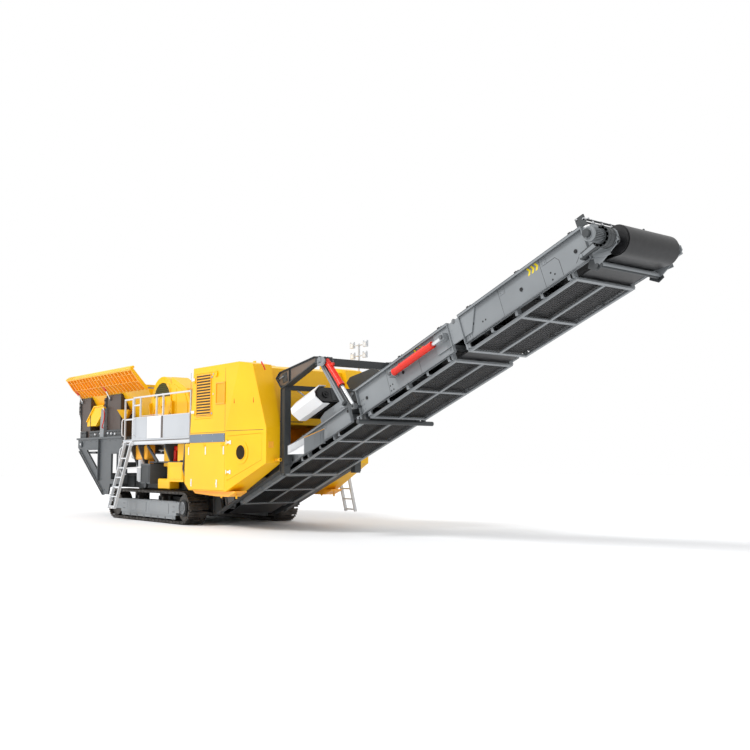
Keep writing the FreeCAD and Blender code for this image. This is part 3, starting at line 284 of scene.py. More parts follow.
def bare_steel(name, light, dark, rough, grain):
    """Mill-finish or worn steel: cloudy in tone, with a fine uneven skin; grain is its size in mm."""
    steel, tree, spot = material(name)
    cloud = noise(tree, spot, {"Scale": 5.0, "Detail": 6.0, "Roughness": 0.65})
    skin = noise(tree, spot, {"Scale": 1000 / grain, "Detail": 2.0})
    tone = add(tree, "MapRange", None, {0: cloud.outputs["Fac"], 1: 0.35, 2: 0.65})
    tint = mixed(tree, tone.outputs[0], linear(dark), linear(light))
    sheen = add(tree, "MapRange", None, {0: cloud.outputs["Fac"], 1: 0.3, 2: 0.7, 3: rough - 0.08,
                                         4: rough + 0.1})
    bump = add(tree, "Bump", None, {"Strength": 0.25, "Distance": 0.001, "Height": skin.outputs["Fac"]})
    body = add(tree, "BsdfPrincipled", None, {"Base Color": tint.outputs[2], "Metallic": 0.75,
                                              "Roughness": sheen.outputs[0], "Normal": bump.outputs[0]})
    surface(tree, body)
    return steel


def machine_paint(name, coat, shade, dust, rough, dirt=0.35):
    """Two-pack machine enamel sprayed on steel: a faint drift in tone, orange peel about 8 mm across,
    and quarry dust that is thicker low down and on faces that look up."""
    paint, tree, spot = material(name)
    drift = noise(tree, spot, {"Scale": 0.8, "Detail": 3.0})
    speck = noise(tree, spot, {"Scale": 7.0, "Detail": 7.0, "Roughness": 0.7})
    peel = noise(tree, spot, {"Scale": 125.0, "Detail": 1.0})
    tone = add(tree, "MapRange", None, {0: drift.outputs["Fac"], 1: 0.35, 2: 0.65})
    tint = mixed(tree, tone.outputs[0], linear(coat), linear(shade))
    place = add(tree, "SeparateXYZ", None, {0: spot})
    low = add(tree, "MapRange", None, {0: place.outputs["Z"], 1: 0.2, 2: 2.6, 3: 1.0, 4: 0.15})
    facing = add(tree, "SeparateXYZ", None, {0: add(tree, "NewGeometry").outputs["Normal"]})
    upward = add(tree, "MapRange", None, {0: facing.outputs["Z"], 1: 0.2, 2: 1.0, 3: 0.45, 4: 1.0})
    patch = add(tree, "MapRange", None, {0: speck.outputs["Fac"], 1: 0.45, 2: 0.75})
    share = times(tree, low.outputs[0], upward.outputs[0])
    cover = times(tree, share.outputs[0], patch.outputs[0])
    film = times(tree, cover.outputs[0], dirt)
    dusty = mixed(tree, film.outputs[0], tint.outputs[2], linear(dust))
    sheen = add(tree, "MapRange", None, {0: film.outputs[0], 1: 0.0, 2: 0.5, 3: rough, 4: rough + 0.3})
    bump = add(tree, "Bump", None, {"Strength": 0.08, "Distance": 0.0006, "Height": peel.outputs["Fac"]})
    body = add(tree, "BsdfPrincipled", None, {"Base Color": dusty.outputs[2], "Roughness": sheen.outputs[0],
                                              "Normal": bump.outputs[0], "Specular IOR Level": 0.35,
                                              "Coat Weight": 0.06, "Coat Roughness": 0.12})
    surface(tree, body)
    return paint


shoe_steel = bare_steel("boron_steel", "#5C5854", "#35322F", 0.5, 6)
worn_steel = bare_steel("worn_cast_steel", "#8C8E90", "#5E6062", 0.42, 6)
plate_grey = machine_paint("mid_grey_enamel", "#85898C", "#7B7F82", "#9A958A", 0.42)
frame_grey = machine_paint("dark_grey_enamel", "#3F4244", "#373A3C", "#77736A", 0.45)
black_paint = machine_paint("black_enamel", "#17181A", "#101113", "#55524C", 0.42)


def track_shoe():
    """One shoe lying flat over the origin: x along the track, z outwards from the link."""
    parts = [block((-0.085, -0.24, 0.036), (0.085, 0.24, 0.05), 0.003)]
    for x in (-0.068, 0.0, 0.068):
        parts.append(block((x - 0.008, -0.238, 0.05), (x + 0.008, 0.238, 0.0695), 0.003))
    for y in (-0.09, 0.09):
        link = block((-0.097, y - 0.02, 0.001), (0.097, y + 0.02, 0.036), 0.004)
        parts.append(pocket(link, lambda middle, normal: abs(normal.y) > 0.99, 0.009, 0.008))
    for side in (-1, 1):
        low, high = sorted((side * 0.24, side * 0.226))
        lip = block((-0.08, low, 0.002), (0.08, high, 0.036), 0.002)
        parts.append(pocket(lip, outer(side), 0.009, 0.01))
    return joined(parts)


def along_track(distance, y):
    """Where the shoe goes that is so far round the loop, and how it is turned."""
    straight = SPROCKET - IDLER
    arc = math.pi * CHAIN_LINE
    if distance < straight:
        return move(at(IDLER + distance, y, TRACK_MID + CHAIN_INNER))
    if distance < straight + arc:
        turn = (distance - straight) / arc * math.pi
        return move(at(SPROCKET, y, TRACK_MID)) @ Matrix.Rotation(turn, 4,
                                                                  "Y") @ move((0, 0, CHAIN_INNER - 0.006))
    if distance < 2 * straight + arc:
        back = distance - straight - arc
        return move(at(SPROCKET - back, y, TRACK_MID - CHAIN_INNER)) @ Matrix.Rotation(math.pi, 4, "Y")
    turn = math.pi + (distance - 2 * straight - arc) / arc * math.pi
    return move(at(IDLER, y, TRACK_MID)) @ Matrix.Rotation(turn, 4, "Y") @ move((0, 0, CHAIN_INNER - 0.006))


loop = 2 * (SPROCKET - IDLER) + 2 * math.pi * CHAIN_LINE
for side, y in (("near", -1.26), ("far", 1.26)):
    chain = spread(track_shoe(), [along_track(i * loop / SHOES, y) for i in range(SHOES)])
    fit(chain, "track_shoes_" + side, shoe_steel)
    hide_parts("track_chain_" + side)
coat_nodes(shoe_steel, "track_wheels")
coat_nodes(plate_grey, "track_beam_near", "track_beam_far")


def bolt_head(size):
    """A hexagon head on its washer, standing up from the origin."""
    washer = tube((0, 0, 0), (0, 0, size * 0.25), size * 1.15, 12, 0)
    head = tube((0, 0, size * 0.25), (0, 0, size * 0.95), size * 0.9, 6, size * 0.12)
    return joined([washer, head])


def facing_y(side):
    """Turns a piece that stands up so that it stands out of the near or the far side."""
    return Matrix.Rotation(math.radians(90) * (1 if side < 0 else -1), 4, "X")


def bolts(size, places, turn):
    return spread(bolt_head(size), [Matrix.Translation(place) @ turn for place in places])


def circle_of(centre, radius, count, start=0.0):
    """Places round an axle that runs across the plant."""
    ring = []
    for i in range(count):
        angle = start + 2 * math.pi * i / count
        ring.append(centre + Vector((radius * math.cos(angle), 0, radius * math.sin(angle))))
    return ring


def outward(side, x, y, z):
    return at(x, side * y, z)


def bent(places, radius, sides=12):
    """Round bar through a row of places, one straight length for each bend."""
    return [tube(a, b, radius, sides, 0) for a, b in zip(places, places[1:])]


def stud(side, x, y0, y1, z, radius, sides=24, soft=0.003):
    """A round boss square to the near or the far side, from y0 out to y1."""
    return tube(outward(side, x, y0, z), outward(side, x, y1, z), radius, sides, soft)


def bolt_rows(side, size, y, columns, rows):
    """Bolts in a grid of x columns and z rows on the near or the far side."""
    return bolts(size, [outward(side, x, y, z) for x in columns for z in rows], facing_y(side))


hubs, rings, beam_trim = [], [], []
for side in (-1, 1):
    def hub_at(x, y):
        return outward(side, x, y, TRACK_MID)
    rings.append(tube(hub_at(SPROCKET, TRACK_FACE), hub_at(SPROCKET, 1.478), 0.2, 40))
    rings.append(bolts(0.011, circle_of(hub_at(SPROCKET, 1.478), 0.176, 18), facing_y(side)))
    drum = tube(hub_at(SPROCKET, 1.478), hub_at(SPROCKET, 1.496), 0.145, 40, 0.006)
    hubs.append(pocket(drum, outer(side), 0.022, 0.006))
    hubs.append(bolts(0.009, circle_of(hub_at(SPROCKET, 1.489), 0.06, 6), facing_y(side)))
    hubs.append(tube(hub_at(IDLER, TRACK_FACE), hub_at(IDLER, 1.478), 0.1, 32))
    hubs.append(bolts(0.01, circle_of(hub_at(IDLER, 1.478), 0.07, 6), facing_y(side)))
    for i in range(8):
        x = -3.535 + i * (-0.73 + 3.535) / 7
        hubs.append(stud(side, x, TRACK_FACE, 1.47, 0.125, 0.034, 20))
    strips = (((-3.715, 0.505), (-0.55, 0.524)), ((-3.66, 0.17), (-0.61, 0.186)))
    for (x0, z0), (x1, z1) in strips:
        y0, y1 = sorted((side * TRACK_FACE, side * 1.472))
        beam_trim.append(block(at(x0, y0, z0), at(x1, y1, z1)))
    for x0, x1 in ((-3.35, -2.2), (-2.05, -0.95)):
        y0, y1 = sorted((side * TRACK_FACE, side * 1.467))
        panel = block(at(x0, y0, 0.23), at(x1, y1, 0.47), 0.003)
        beam_trim.append(pocket(panel, outer(side), 0.02, 0.003))
    spots = [outward(side, x, 1.462, z) for x in (-0.66, -0.72, -3.5, -3.56) for z in (0.28, 0.4)]
    beam_trim.append(bolts(0.011, spots, facing_y(side)))
fit(rings, "drive_rings", black_paint, smooth=30)
fit(hubs, "drive_hubs", worn_steel, smooth=30)
fit(beam_trim, "track_beam_trim", plate_grey)

# ---- main frame -----------------------------------------------------------------------------
# Two long box beams with cross-members, and the cheek plates ahead of the tracks that carry the
# conveyor and the gantry: structural plate, welded, and sprayed dark grey.
BEAM_FACE = 0.98
CHEEK_FACE = 0.845


def flat_bar(start, end, across, deep, soft=0.003):
    """A bar from start to end, so wide across the plant and so deep square to its run."""
    run = end - start
    ahead = run.normalized()
    side = Vector((1, 0, 0)) if abs(ahead.y) > 0.9 else Vector((0, 1, 0))
    up = ahead.cross(side).normalized()
    piece = block((0, -across / 2, -deep / 2), (run.length, across / 2, deep / 2), soft)
    piece.data.transform(Matrix.Translation(start) @ Matrix((ahead, up.cross(ahead),
                                                             up)).transposed().to_4x4())
    return piece


def sided(side, x0, x1, y0, y1, z0, z1, soft=0.003):
    """A block on the near or the far side, given by its distances from the plant's middle."""
    low, high = sorted((side * y0, side * y1))
    return block(at(x0, low, z0), at(x1, high, z1), soft)


def cutout(outline, push, soft=0.0):
    """A sheet-metal blank: a filled ring with its corners moved to the outline, pushed to thickness."""
    idle()
    bpy.ops.mesh.primitive_circle_add(vertices=len(outline), fill_type="NGON")
    piece = bpy.context.object
    for corner, place in zip(piece.data.vertices, outline):
        corner.co = place
    bpy.ops.object.mode_set(mode="EDIT")
    bpy.ops.mesh.select_all(action="SELECT")
    bpy.ops.mesh.extrude_region_move(TRANSFORM_OT_translate={"value": push})
    bpy.ops.mesh.select_all(action="SELECT")
    bpy.ops.mesh.normals_make_consistent(inside=False)
    if soft:
        bpy.ops.mesh.bevel(offset=soft, segments=1, affect="EDGES")
    bpy.ops.object.mode_set(mode="OBJECT")
    return piece


def side_blank(side, outline, y, thick, soft=0.0):
    """A blank drawn in x and z, lying on the near or the far side at y."""
    return cutout([outward(side, x, y, z) for x, z in outline], Vector((0, side * thick, 0)), soft)


coat_nodes(frame_grey, "main_frame", "rear_ties", "feeder_mounts", "tail_frame", "platform_brackets",
           "cross_tube", "idlers")
trim = []
for side in (-1, 1):
    for z0, z1 in ((1.096, 1.122), (0.788, 0.806)):
        trim.append(sided(side, -4.6, 0.2, BEAM_FACE - 0.01, BEAM_FACE + 0.03, z0, z1))
    for x in (-3.95, -3.2, -1.15, -0.4):
        trim.append(sided(side, x, x + 0.014, BEAM_FACE, BEAM_FACE + 0.025, 0.8, 1.1))
    trim.append(bolt_rows(side, 0.012, BEAM_FACE, (-3.8, -3.6, -3.4, -1.0, -0.8, -0.6), (0.88, 1.02)))
    trim.append(flat_bar(outward(side, 0.45, 0.86, 0.65), outward(side, 0.585, 0.86, 0.31), 0.03, 0.06))
    for x, z in ((0.45, 0.65), (0.585, 0.31)):
        trim.append(stud(side, x, 0.84, 0.885, z, 0.045, 20))
    trim.append(bolts(0.01, [outward(side, 0.3 + 0.37 * i, CHEEK_FACE, 0.745 + 0.01 * i) for i in range(4)],
                      facing_y(side)))
    for x0, z0, x1, z1 in ((0.2, 0.28, 0.2, 0.76), (1.16, 0.44, 1.16, 0.76)):
        trim.append(flat_bar(outward(side, x0, 0.865, z0), outward(side, x1, 0.865, z1), 0.04, 0.02))
fit(trim, "frame_flanges", frame_grey)

# ---- rear frame under the hopper ------------------------------------------------------------
# Burnt-out side plates with a top flange and a sloping lip, stiffened round their windows, and a
# bolted ledge above them that the hopper's stand plates are pinned to.
PLATE_FACE = 1.4
LEDGE_Z = 2.15
chassis_grey = machine_paint("slate_grey_enamel", "#54585B", "#4A4E51", "#8C867B", 0.4)
coat_nodes(chassis_grey, "rear_frame_near", "rear_frame_far", "valve_cabinet")
light_grey = machine_paint("light_grey_enamel", "#D3D5D8", "#CBCED1", "#B9B2A4", 0.36, 0.2)
rear_trim, ledge, pins = [], [], []
for side in (-1, 1):
    def on_plate(x, z, y=PLATE_FACE):
        return outward(side, x, y, z)
    rear_trim.append(tube(on_plate(-6.73, 1.97), on_plate(-6.73, 1.97, 1.43), 0.085, 28))
    rear_trim.append(bolts(0.009, circle_of(on_plate(-6.73, 1.97, 1.43), 0.066, 8), facing_y(side)))
    pins.append(tube(on_plate(-6.73, 1.97, 1.43), on_plate(-6.73, 1.97, 1.446), 0.036, 24))
    for x0, z0, x1, z1 in ((-6.3, 1.815, -5.47, 1.815), (-5.475, 1.8, -5.475, 1.22),
                           (-6.33, 1.79, -5.5, 1.215)):
        rear_trim.append(flat_bar(on_plate(x0, z0, 1.41), on_plate(x1, z1, 1.41), 0.02, 0.03))
    rear_trim.append(sided(side, -5.4, -5.37, PLATE_FACE, 1.46, 0.95, 2.09))
    for x0, z0, x1, z1 in ((-4.57, 0.99, -4.57, 1.7), (-4.19, 0.99, -4.19, 1.7), (-4.57, 1.7, -4.19, 1.7),
                           (-4.57, 0.99, -4.19, 0.99)):
        rear_trim.append(flat_bar(on_plate(x0, z0, 1.408), on_plate(x1, z1, 1.408), 0.016, 0.024))
    rear_trim.append(flat_bar(on_plate(-6.82, 1.83, 1.42), on_plate(-5.1, 0.67, 1.42), 0.04, 0.014))
    for i in range(7):
        x = -6.7 + i * 0.25
        z = 1.83 - (x + 6.82) * 1.16 / 1.72
        rear_trim.append(flat_bar(on_plate(x, z, 1.42), on_plate(x - 0.045, z - 0.067, 1.42), 0.038, 0.01))
    rear_trim.append(bolts(0.011, [on_plate(x, z) for x, z in ((-6.9, 1.94), (-6.5, 2.04), (-6.05, 2.04),
                           (-5.65, 2.04), (-5.2, 2.04), (-4.7, 2.04), (-4.3, 2.04), (-5.2, 0.8), (-5.2, 1.0),
                           (-5.0, 0.72), (-4.85, 0.66))], facing_y(side)))
    for x0, x1, slots in ((-6.96, -6.53, 2), (-6.27, -5.31, 4), (-5.05, -4.08, 4)):
        strip = sided(side, x0, x1, 1.31, 1.36, LEDGE_Z, 2.34, 0.004)
        ledge.append(strip)
        step = (x1 - x0) / slots
        for i in range(slots):
            x = x0 + (i + 0.5) * step
            hole = sided(side, x - 0.07, x + 0.07, 1.359, 1.372, 2.27, 2.3, 0.002)
            ledge.append(pocket(hole, outer(side), 0.006, 0.01))
            ledge.append(bolts(0.01, [outward(side, x + d, 1.36, 2.19) for d in (-0.05, 0.05)],
                               facing_y(side)))
    for x, z in ((-5.79, 2.235), (-5.42, 2.25), (-4.9, 2.25), (-4.67, 2.235), (-4.42, 2.22)):
        pins.append(stud(side, x, 1.36, 1.4, z, 0.03, 20))
fit(rear_trim, "rear_frame_trim", chassis_grey)
fit(ledge, "hopper_ledge", frame_grey)
fit(pins, "hopper_pins", light_grey, smooth=30)

# ---- feed hopper and its flaps --------------------------------------------------------------
# A funnel of folded plate with ribbed flaps that lean out of it, sprayed yellow outside (their orange is
# painted shade) and lined with bolted wear plates, which the rock has polished. Wedge arms lock the flaps up.
HOP_REAR = -7.05
HOP_FRONT = -2.6
HINGE_Y = 1.3
HINGE_Z = 3.34
FLAP_OUT = 0.42
FLAP_UP = 0.47
REAR_OUT = 0.52
LEVER_X = -5.4
yellow = machine_paint("yellow_enamel", "#F9C000", "#F5B800", "#C9A45C", 0.4, 0.1)
# Orange: painted shade of the yellow enamel, on the flaps' undersides and round recessed doors.
orange_and_painted_shade = machine_paint("orange_enamel_and_painted_shade", "#FDB638", "#FBAC2A", "#C99A58", 0.34, 0.1)
# Umber: painted shade in gaps, seams and under sills, with a painted warm reflection on the hopper posts.
umber_shade = machine_paint("umber_painted_shade", "#4A3D36", "#40352F", "#7E7264", 0.42)
red_paint = machine_paint("red_enamel", "#DF2C1A", "#D22617", "#A8705E", 0.26, 0.12)
chrome = bare_steel("hard_chrome", "#E6E8EA", "#CDD0D3", 0.14, 4)
lining_steel = bare_steel("quenched_wear_plate", "#9A948B", "#6B645B", 0.4, 9)
# The flaps are yellow enamel; the orange on their ribbed undersides is painted shade.
coat_nodes(orange_and_painted_shade, "side_flap_near", "side_flap_far", "rear_flap")
coat_nodes(yellow, "hopper")
# The hopper posts are dark grey plates; their umber is painted shade with a painted warm reflection.
coat_nodes(umber_shade, "hopper_posts")
coat_nodes(lining_steel, "feeder")
slant = math.hypot(FLAP_OUT, FLAP_UP)


def flap_bar(x0, x1, out0, out1, lift0, lift1, soft=0.003):
    """A block laid on a side flap, in the plane of its sheet."""
    piece = block((x0, out0, lift0), (x1, out1, lift1), soft)
    lay = Matrix(((1, 0, 0), (0, -FLAP_OUT / slant, FLAP_UP / slant), (0, FLAP_UP / slant, FLAP_OUT / slant)))
    piece.data.transform(Matrix.Translation(at(0, -HINGE_Y, HINGE_Z)) @ lay.to_4x4())
    idle()
    piece.select_set(True)
    bpy.context.view_layer.objects.active = piece
    bpy.ops.object.mode_set(mode="EDIT")
    bpy.ops.mesh.select_all(action="SELECT")
    bpy.ops.mesh.normals_make_consistent(inside=False)
    bpy.ops.object.mode_set(mode="OBJECT")
    return piece


def mirrored(piece):
    """The same piece again on the other side of the plant, joined to the first."""
    twin = piece.copy()
    twin.data = piece.data.copy()
    twin.data.transform(Matrix.Diagonal((1, -1, 1, 1)))
    twin.data.flip_normals()
    bpy.context.collection.objects.link(twin)
    return joined([piece, twin])


FLAP_END = slant + 0.05
edges = [flap_bar(HOP_REAR - 0.004, HOP_FRONT + 0.004, FLAP_END - 0.04, FLAP_END + 0.02, -0.055, 0.075),
         flap_bar(HOP_FRONT - 0.004, HOP_FRONT + 0.012, 0.02, FLAP_END, -0.05, 0.022),
         flap_bar(HOP_REAR - 0.012, HOP_REAR + 0.004, 0.02, FLAP_END, -0.05, 0.022)]
for i in range(5):
    x = HOP_REAR + 0.12 + 0.09 * i
    edges.append(flap_bar(x, x + 0.05, FLAP_END + 0.018, FLAP_END + 0.034, -0.04, 0.05))
fit(mirrored(joined(edges)), "flap_edges", yellow)
# The gussets under the flaps are orange too: painted shade.
gussets = []
bay = (HOP_FRONT - HOP_REAR - 0.03) / 20
for i in range(20):
    x = HOP_REAR + 0.03 + i * bay
    for out, reach in ((0.3, 0.075), (0.52, 0.05)):
        gussets.append(flap_bar(x, x + bay - 0.03, out, out + 0.012, -reach, 0.001, 0))
        gussets.append(flap_bar(x + bay / 2 - 0.05, x + bay / 2 + 0.035, out + 0.01, out + 0.06, -0.02, 0.001,
                                0.004))
fit(mirrored(joined(gussets)), "flap_gussets", orange_and_painted_shade)

liners = []
for i in range(6):
    x = HOP_REAR + 0.03 + i * 0.735
    liners.append(flap_bar(x, x + 0.715, 0.02, slant - 0.04, 0.016, 0.026, 0.002))
    for dx in (0.08, 0.36, 0.64):
        for out in (0.12, slant - 0.14):
            liners.append(flap_bar(x + dx - 0.016, x + dx + 0.016, out - 0.016, out + 0.016, 0.026, 0.034,
                                   0.005))
liner = mirrored(joined(liners))
rear_liners = []
rear_slant = math.hypot(REAR_OUT, FLAP_UP)
for i in range(4):
    y = -1.26 + i * 0.632
    low = at(HOP_REAR - REAR_OUT * 0.04 + 0.012, y, HINGE_Z + FLAP_UP * 0.04 + 0.012)
    high = at(HOP_REAR - REAR_OUT * 0.92 + 0.012, y, HINGE_Z + FLAP_UP * 0.92 + 0.012)
    rear_liners.append(cutout([low, high, high + Vector((0, 0.618, 0)), low + Vector((0, 0.618, 0))],
                              Vector((FLAP_UP, 0, REAR_OUT)) * 0.012 / rear_slant))
fit(joined([liner] + rear_liners), "flap_liners", lining_steel)

edge = [at(HOP_REAR - REAR_OUT - 0.058, -1.285, HINGE_Z + FLAP_UP - 0.022),
        at(HOP_REAR - REAR_OUT + 0.044, -1.285, HINGE_Z + FLAP_UP + 0.064)]
fit(block(edge[0], edge[1] + Vector((0, 2.57, 0)), 0.006), "rear_flap_edge", yellow)

stand, braces, levers, balls = [], [], [], []
for side in (-1, 1):
    for x, width in ((-7.03, 0.73), (-5.19, 0.99)):
        for x0 in (x, x + width - 0.025):
            stand.append(sided(side, x0, x0 + 0.025, 1.31, 1.33, 2.36, 3.29))
        stand.append(bolts(0.011, [outward(side, x + d, 1.313, z) for d in (0.06, width - 0.06)
                                   for z in (2.45, 2.7, 2.95, 3.2)], facing_y(side)))
        for z in (2.9, 3.02, 3.14):
            slot = sided(side, x - 0.1, x - 0.02, 1.338, 1.35, z, z + 0.05, 0.002)
            stand.append(pocket(slot, outer(side), 0.006, 0.01))
for side in (-1, 1):
    box_side = [(-6.55, 2.62), (-6.02, 3.02), (-5.38, 3.02), (-5.38, 2.9), (-5.92, 2.48), (-6.55, 2.48)]
    braces.append(side_blank(side, box_side, 1.16, 0.16, 0.004))
    rim = [(-6.57, 2.63), (-6.04, 3.045), (-5.36, 3.045), (-5.36, 3.01), (-6.02, 3.01), (-6.55, 2.6)]
    braces.append(side_blank(side, rim, 1.15, 0.2, 0.004))
    braces.append(sided(side, LEVER_X - 0.01, LEVER_X + 0.27, 1.36, 1.425, 2.93, 2.98, 0.006))
    bend = [outward(side, LEVER_X + dx, 1.45, z) for dx, z in ((0.34, 2.92), (0.39, 2.76), (0.36, 2.6),
                                                               (0.24, 2.42))]
    levers += bent(bend, 0.014)
    levers.append(tube(bend[-1], outward(side, LEVER_X + 0.2, 1.38, 2.38), 0.014, 12))
    idle()
    bpy.ops.mesh.primitive_uv_sphere_add(segments=20, ring_count=12, radius=0.034, location=bend[0])
    ball = bpy.context.object
    bpy.ops.object.transform_apply(location=True, rotation=True, scale=True)
    balls.append(joined([ball, tube(bend[0] - Vector((0, 0, 0.05)), bend[0], 0.018, 16, 0.002)]))
    outlet = tube(outward(side, -4.2, 1.2, 2.62), outward(side, -4.2, 1.2, 2.86), 0.07, 4, 0.004, 0.24)
    braces.append(outlet)
fit(stand, "hopper_stand_trim", frame_grey)
fit(braces, "hopper_braces", yellow)
fit(levers, "wedge_levers", red_paint, smooth=50)
fit(balls, "lever_knobs", chrome, smooth=40)
coat_nodes(plate_grey, "wedge_arms")

corner = []
for side in (-1, 1):
    outline = [(-7.06, 3.32), (-7.06, 2.95), (-6.9, 2.75), (-6.93, 2.15), (-7.03, 2.15), (-7.05, 2.6),
               (-7.18, 2.83), (-7.2, 3.32)]
    corner.append(side_blank(side, outline, 1.16, 0.15, 0.005))
    corner.append(sided(side, -7.21, -7.05, 1.15, 1.32, 2.98, 3.02))
fit(corner, "hopper_corner_posts", black_paint)

# ---- jaw crusher and its flywheel guards ----------------------------------------------------
# The cast jaw frame stands between two sheet hoods that cover its flywheels; each hood has a rolled
# rim, an expanded-mesh window with a black sheet behind it as painted shade, and bolted-on bosses.
GUARD_X = -1.94
GUARD_Z = 2.96
GUARD_R = 0.64
GUARD_FACE = 1.2
# Deep yellow: the crusher's cast frame, and painted shade on the housing's louvre blades and hatch panel.
cast_and_shade_yellow = machine_paint("cast_enamel_and_painted_shade", "#EFAE04", "#E2A000", "#B99A5C", 0.42, 0.3)
olive_mesh = machine_paint("olive_expanded_mesh", "#6F6A2C", "#5E5A24", "#8C8560", 0.5)
coat_nodes(cast_and_shade_yellow, "crusher")
coat_nodes(yellow, "flywheel_guard_near", "flywheel_guard_far")


def arc_rim(centre, radius, wide, thick, start, finish, steps):
    """A rolled rim: one face at the start of the arc, spun round an axle that runs across the plant."""
    idle()
    angle = math.radians(start)
    bpy.ops.mesh.primitive_plane_add(size=1)
    piece = bpy.context.object
    out = Vector((math.cos(angle), 0, math.sin(angle)))
    corners = ((-1, -1), (1, -1), (1, 1), (-1, 1))
    for corner, (a, b) in zip(piece.data.vertices, corners):
        corner.co = centre + out * (radius + thick / 2 * a) + Vector((0, wide / 2 * b, 0))
    bpy.ops.object.mode_set(mode="EDIT")
    bpy.ops.mesh.select_all(action="SELECT")
    bpy.ops.mesh.spin(steps=steps, angle=math.radians(start - finish), center=centre, axis=(0, 1, 0))
    bpy.ops.mesh.select_all(action="SELECT")
    if abs(finish - start) > 359:
        bpy.ops.mesh.remove_doubles(threshold=0.0002)
    bpy.ops.mesh.normals_make_consistent(inside=False)
    bpy.ops.object.mode_set(mode="OBJECT")
    return piece


window_shade_sheets, screens, rim_parts = [], [], []
for side in (-1, 1):
    axle = outward(side, GUARD_X, GUARD_FACE + 0.02, GUARD_Z)
    rim_parts.append(arc_rim(axle, GUARD_R + 0.004, 0.09, 0.03, 180, 0, 32))
    rim_parts.append(arc_rim(outward(side, GUARD_X, GUARD_FACE + 0.012, GUARD_Z), 0.5, 0.024, 0.03, 200, -20,
                             36))
    for x in (GUARD_X - 0.5, GUARD_X + 0.5):
        rim_parts.append(sided(side, x - 0.015, x + 0.015, GUARD_FACE, GUARD_FACE + 0.024, 2.62, 2.8))
    rim_parts.append(sided(side, GUARD_X - 0.5, GUARD_X + 0.5, GUARD_FACE, GUARD_FACE + 0.024, 2.6, 2.63))
    for x in (GUARD_X - 0.64, GUARD_X + 0.61):
        rim_parts.append(sided(side, x, x + 0.03, GUARD_FACE - 0.02, GUARD_FACE + 0.06, 2.38, GUARD_Z))
    for i in range(7):
        z = 3.1 + i * 0.05
        half = math.sqrt(max(0.0, 0.235 - (z - GUARD_Z) ** 2))
        screens.append(sided(side, GUARD_X - half, GUARD_X + half, GUARD_FACE + 0.004, GUARD_FACE + 0.012, z,
                             z + 0.01, 0))
    for i in range(19):
        x = GUARD_X - 0.47 + i * 0.0522
        top = GUARD_Z + math.sqrt(0.235 - (x - GUARD_X) ** 2)
        screens.append(sided(side, x - 0.005, x + 0.005, GUARD_FACE + 0.006, GUARD_FACE + 0.014, 3.09, top,
                             0))
    # Behind the mesh a black half-disc: painted shade inside the hood.
    window = [(GUARD_X + 0.485 * math.cos(math.radians(a)), GUARD_Z + 0.485 * math.sin(math.radians(a)))
              for a in range(16, 165, 8)]
    window_shade_sheets.append(side_blank(side, window, GUARD_FACE, 0.004))
    boss = stud(side, GUARD_X, GUARD_FACE, GUARD_FACE + 0.05, GUARD_Z, 0.13, 36)
    rim_parts.append(pocket(boss, outer(side), 0.03, 0.008))
    rim_parts.append(bolts(0.01, circle_of(outward(side, GUARD_X, GUARD_FACE + 0.05, GUARD_Z), 0.112, 10),
                           facing_y(side)))
    rim_parts.append(bolts(0.011, circle_of(outward(side, GUARD_X, GUARD_FACE, GUARD_Z), 0.57, 22),
                           facing_y(side)))
    for x, z in ((-1.28, 3.36), (-0.75, 3.12), (-0.58, 2.85), (-0.6, 2.5), (-1.2, 2.5)):
        rim_parts.append(bolts(0.013, [outward(side, x, GUARD_FACE, z)], facing_y(side)))
    panel = side_blank(side, [(-1.22, 2.5), (-0.56, 2.5), (-0.56, 2.86), (-0.72, 3.14), (-1.22, 3.34)],
                       GUARD_FACE, 0.014, 0.003)
    rim_parts.append(pocket(panel, outer(side), 0.05, 0.008))
fit(rim_parts, "guard_rims", yellow, smooth=35)
fit(screens, "guard_screens", olive_mesh)
fit(window_shade_sheets, "guard_window_shade", black_paint)
jaw = []
for i in range(7):
    y = -0.52 + i * 0.16
    jaw.append(cutout([at(-2.23, y, 1.88), at(-1.95, y, 1.36), at(-1.93, y, 1.36), at(-2.2, y, 1.88)],
                      Vector((0, 0.08, 0)), 0.004))
for y in (-0.67, 0.67):
    jaw.append(block(at(-2.3, y - 0.07, 3.178), at(-1.4, y + 0.07, 3.21), 0.006))
    jaw.append(bolts(0.022, [at(-2.2 + 0.2 * i, y, 3.21) for i in range(5)], Matrix.Identity(4)))
fit(jaw, "jaw_trim", lining_steel)

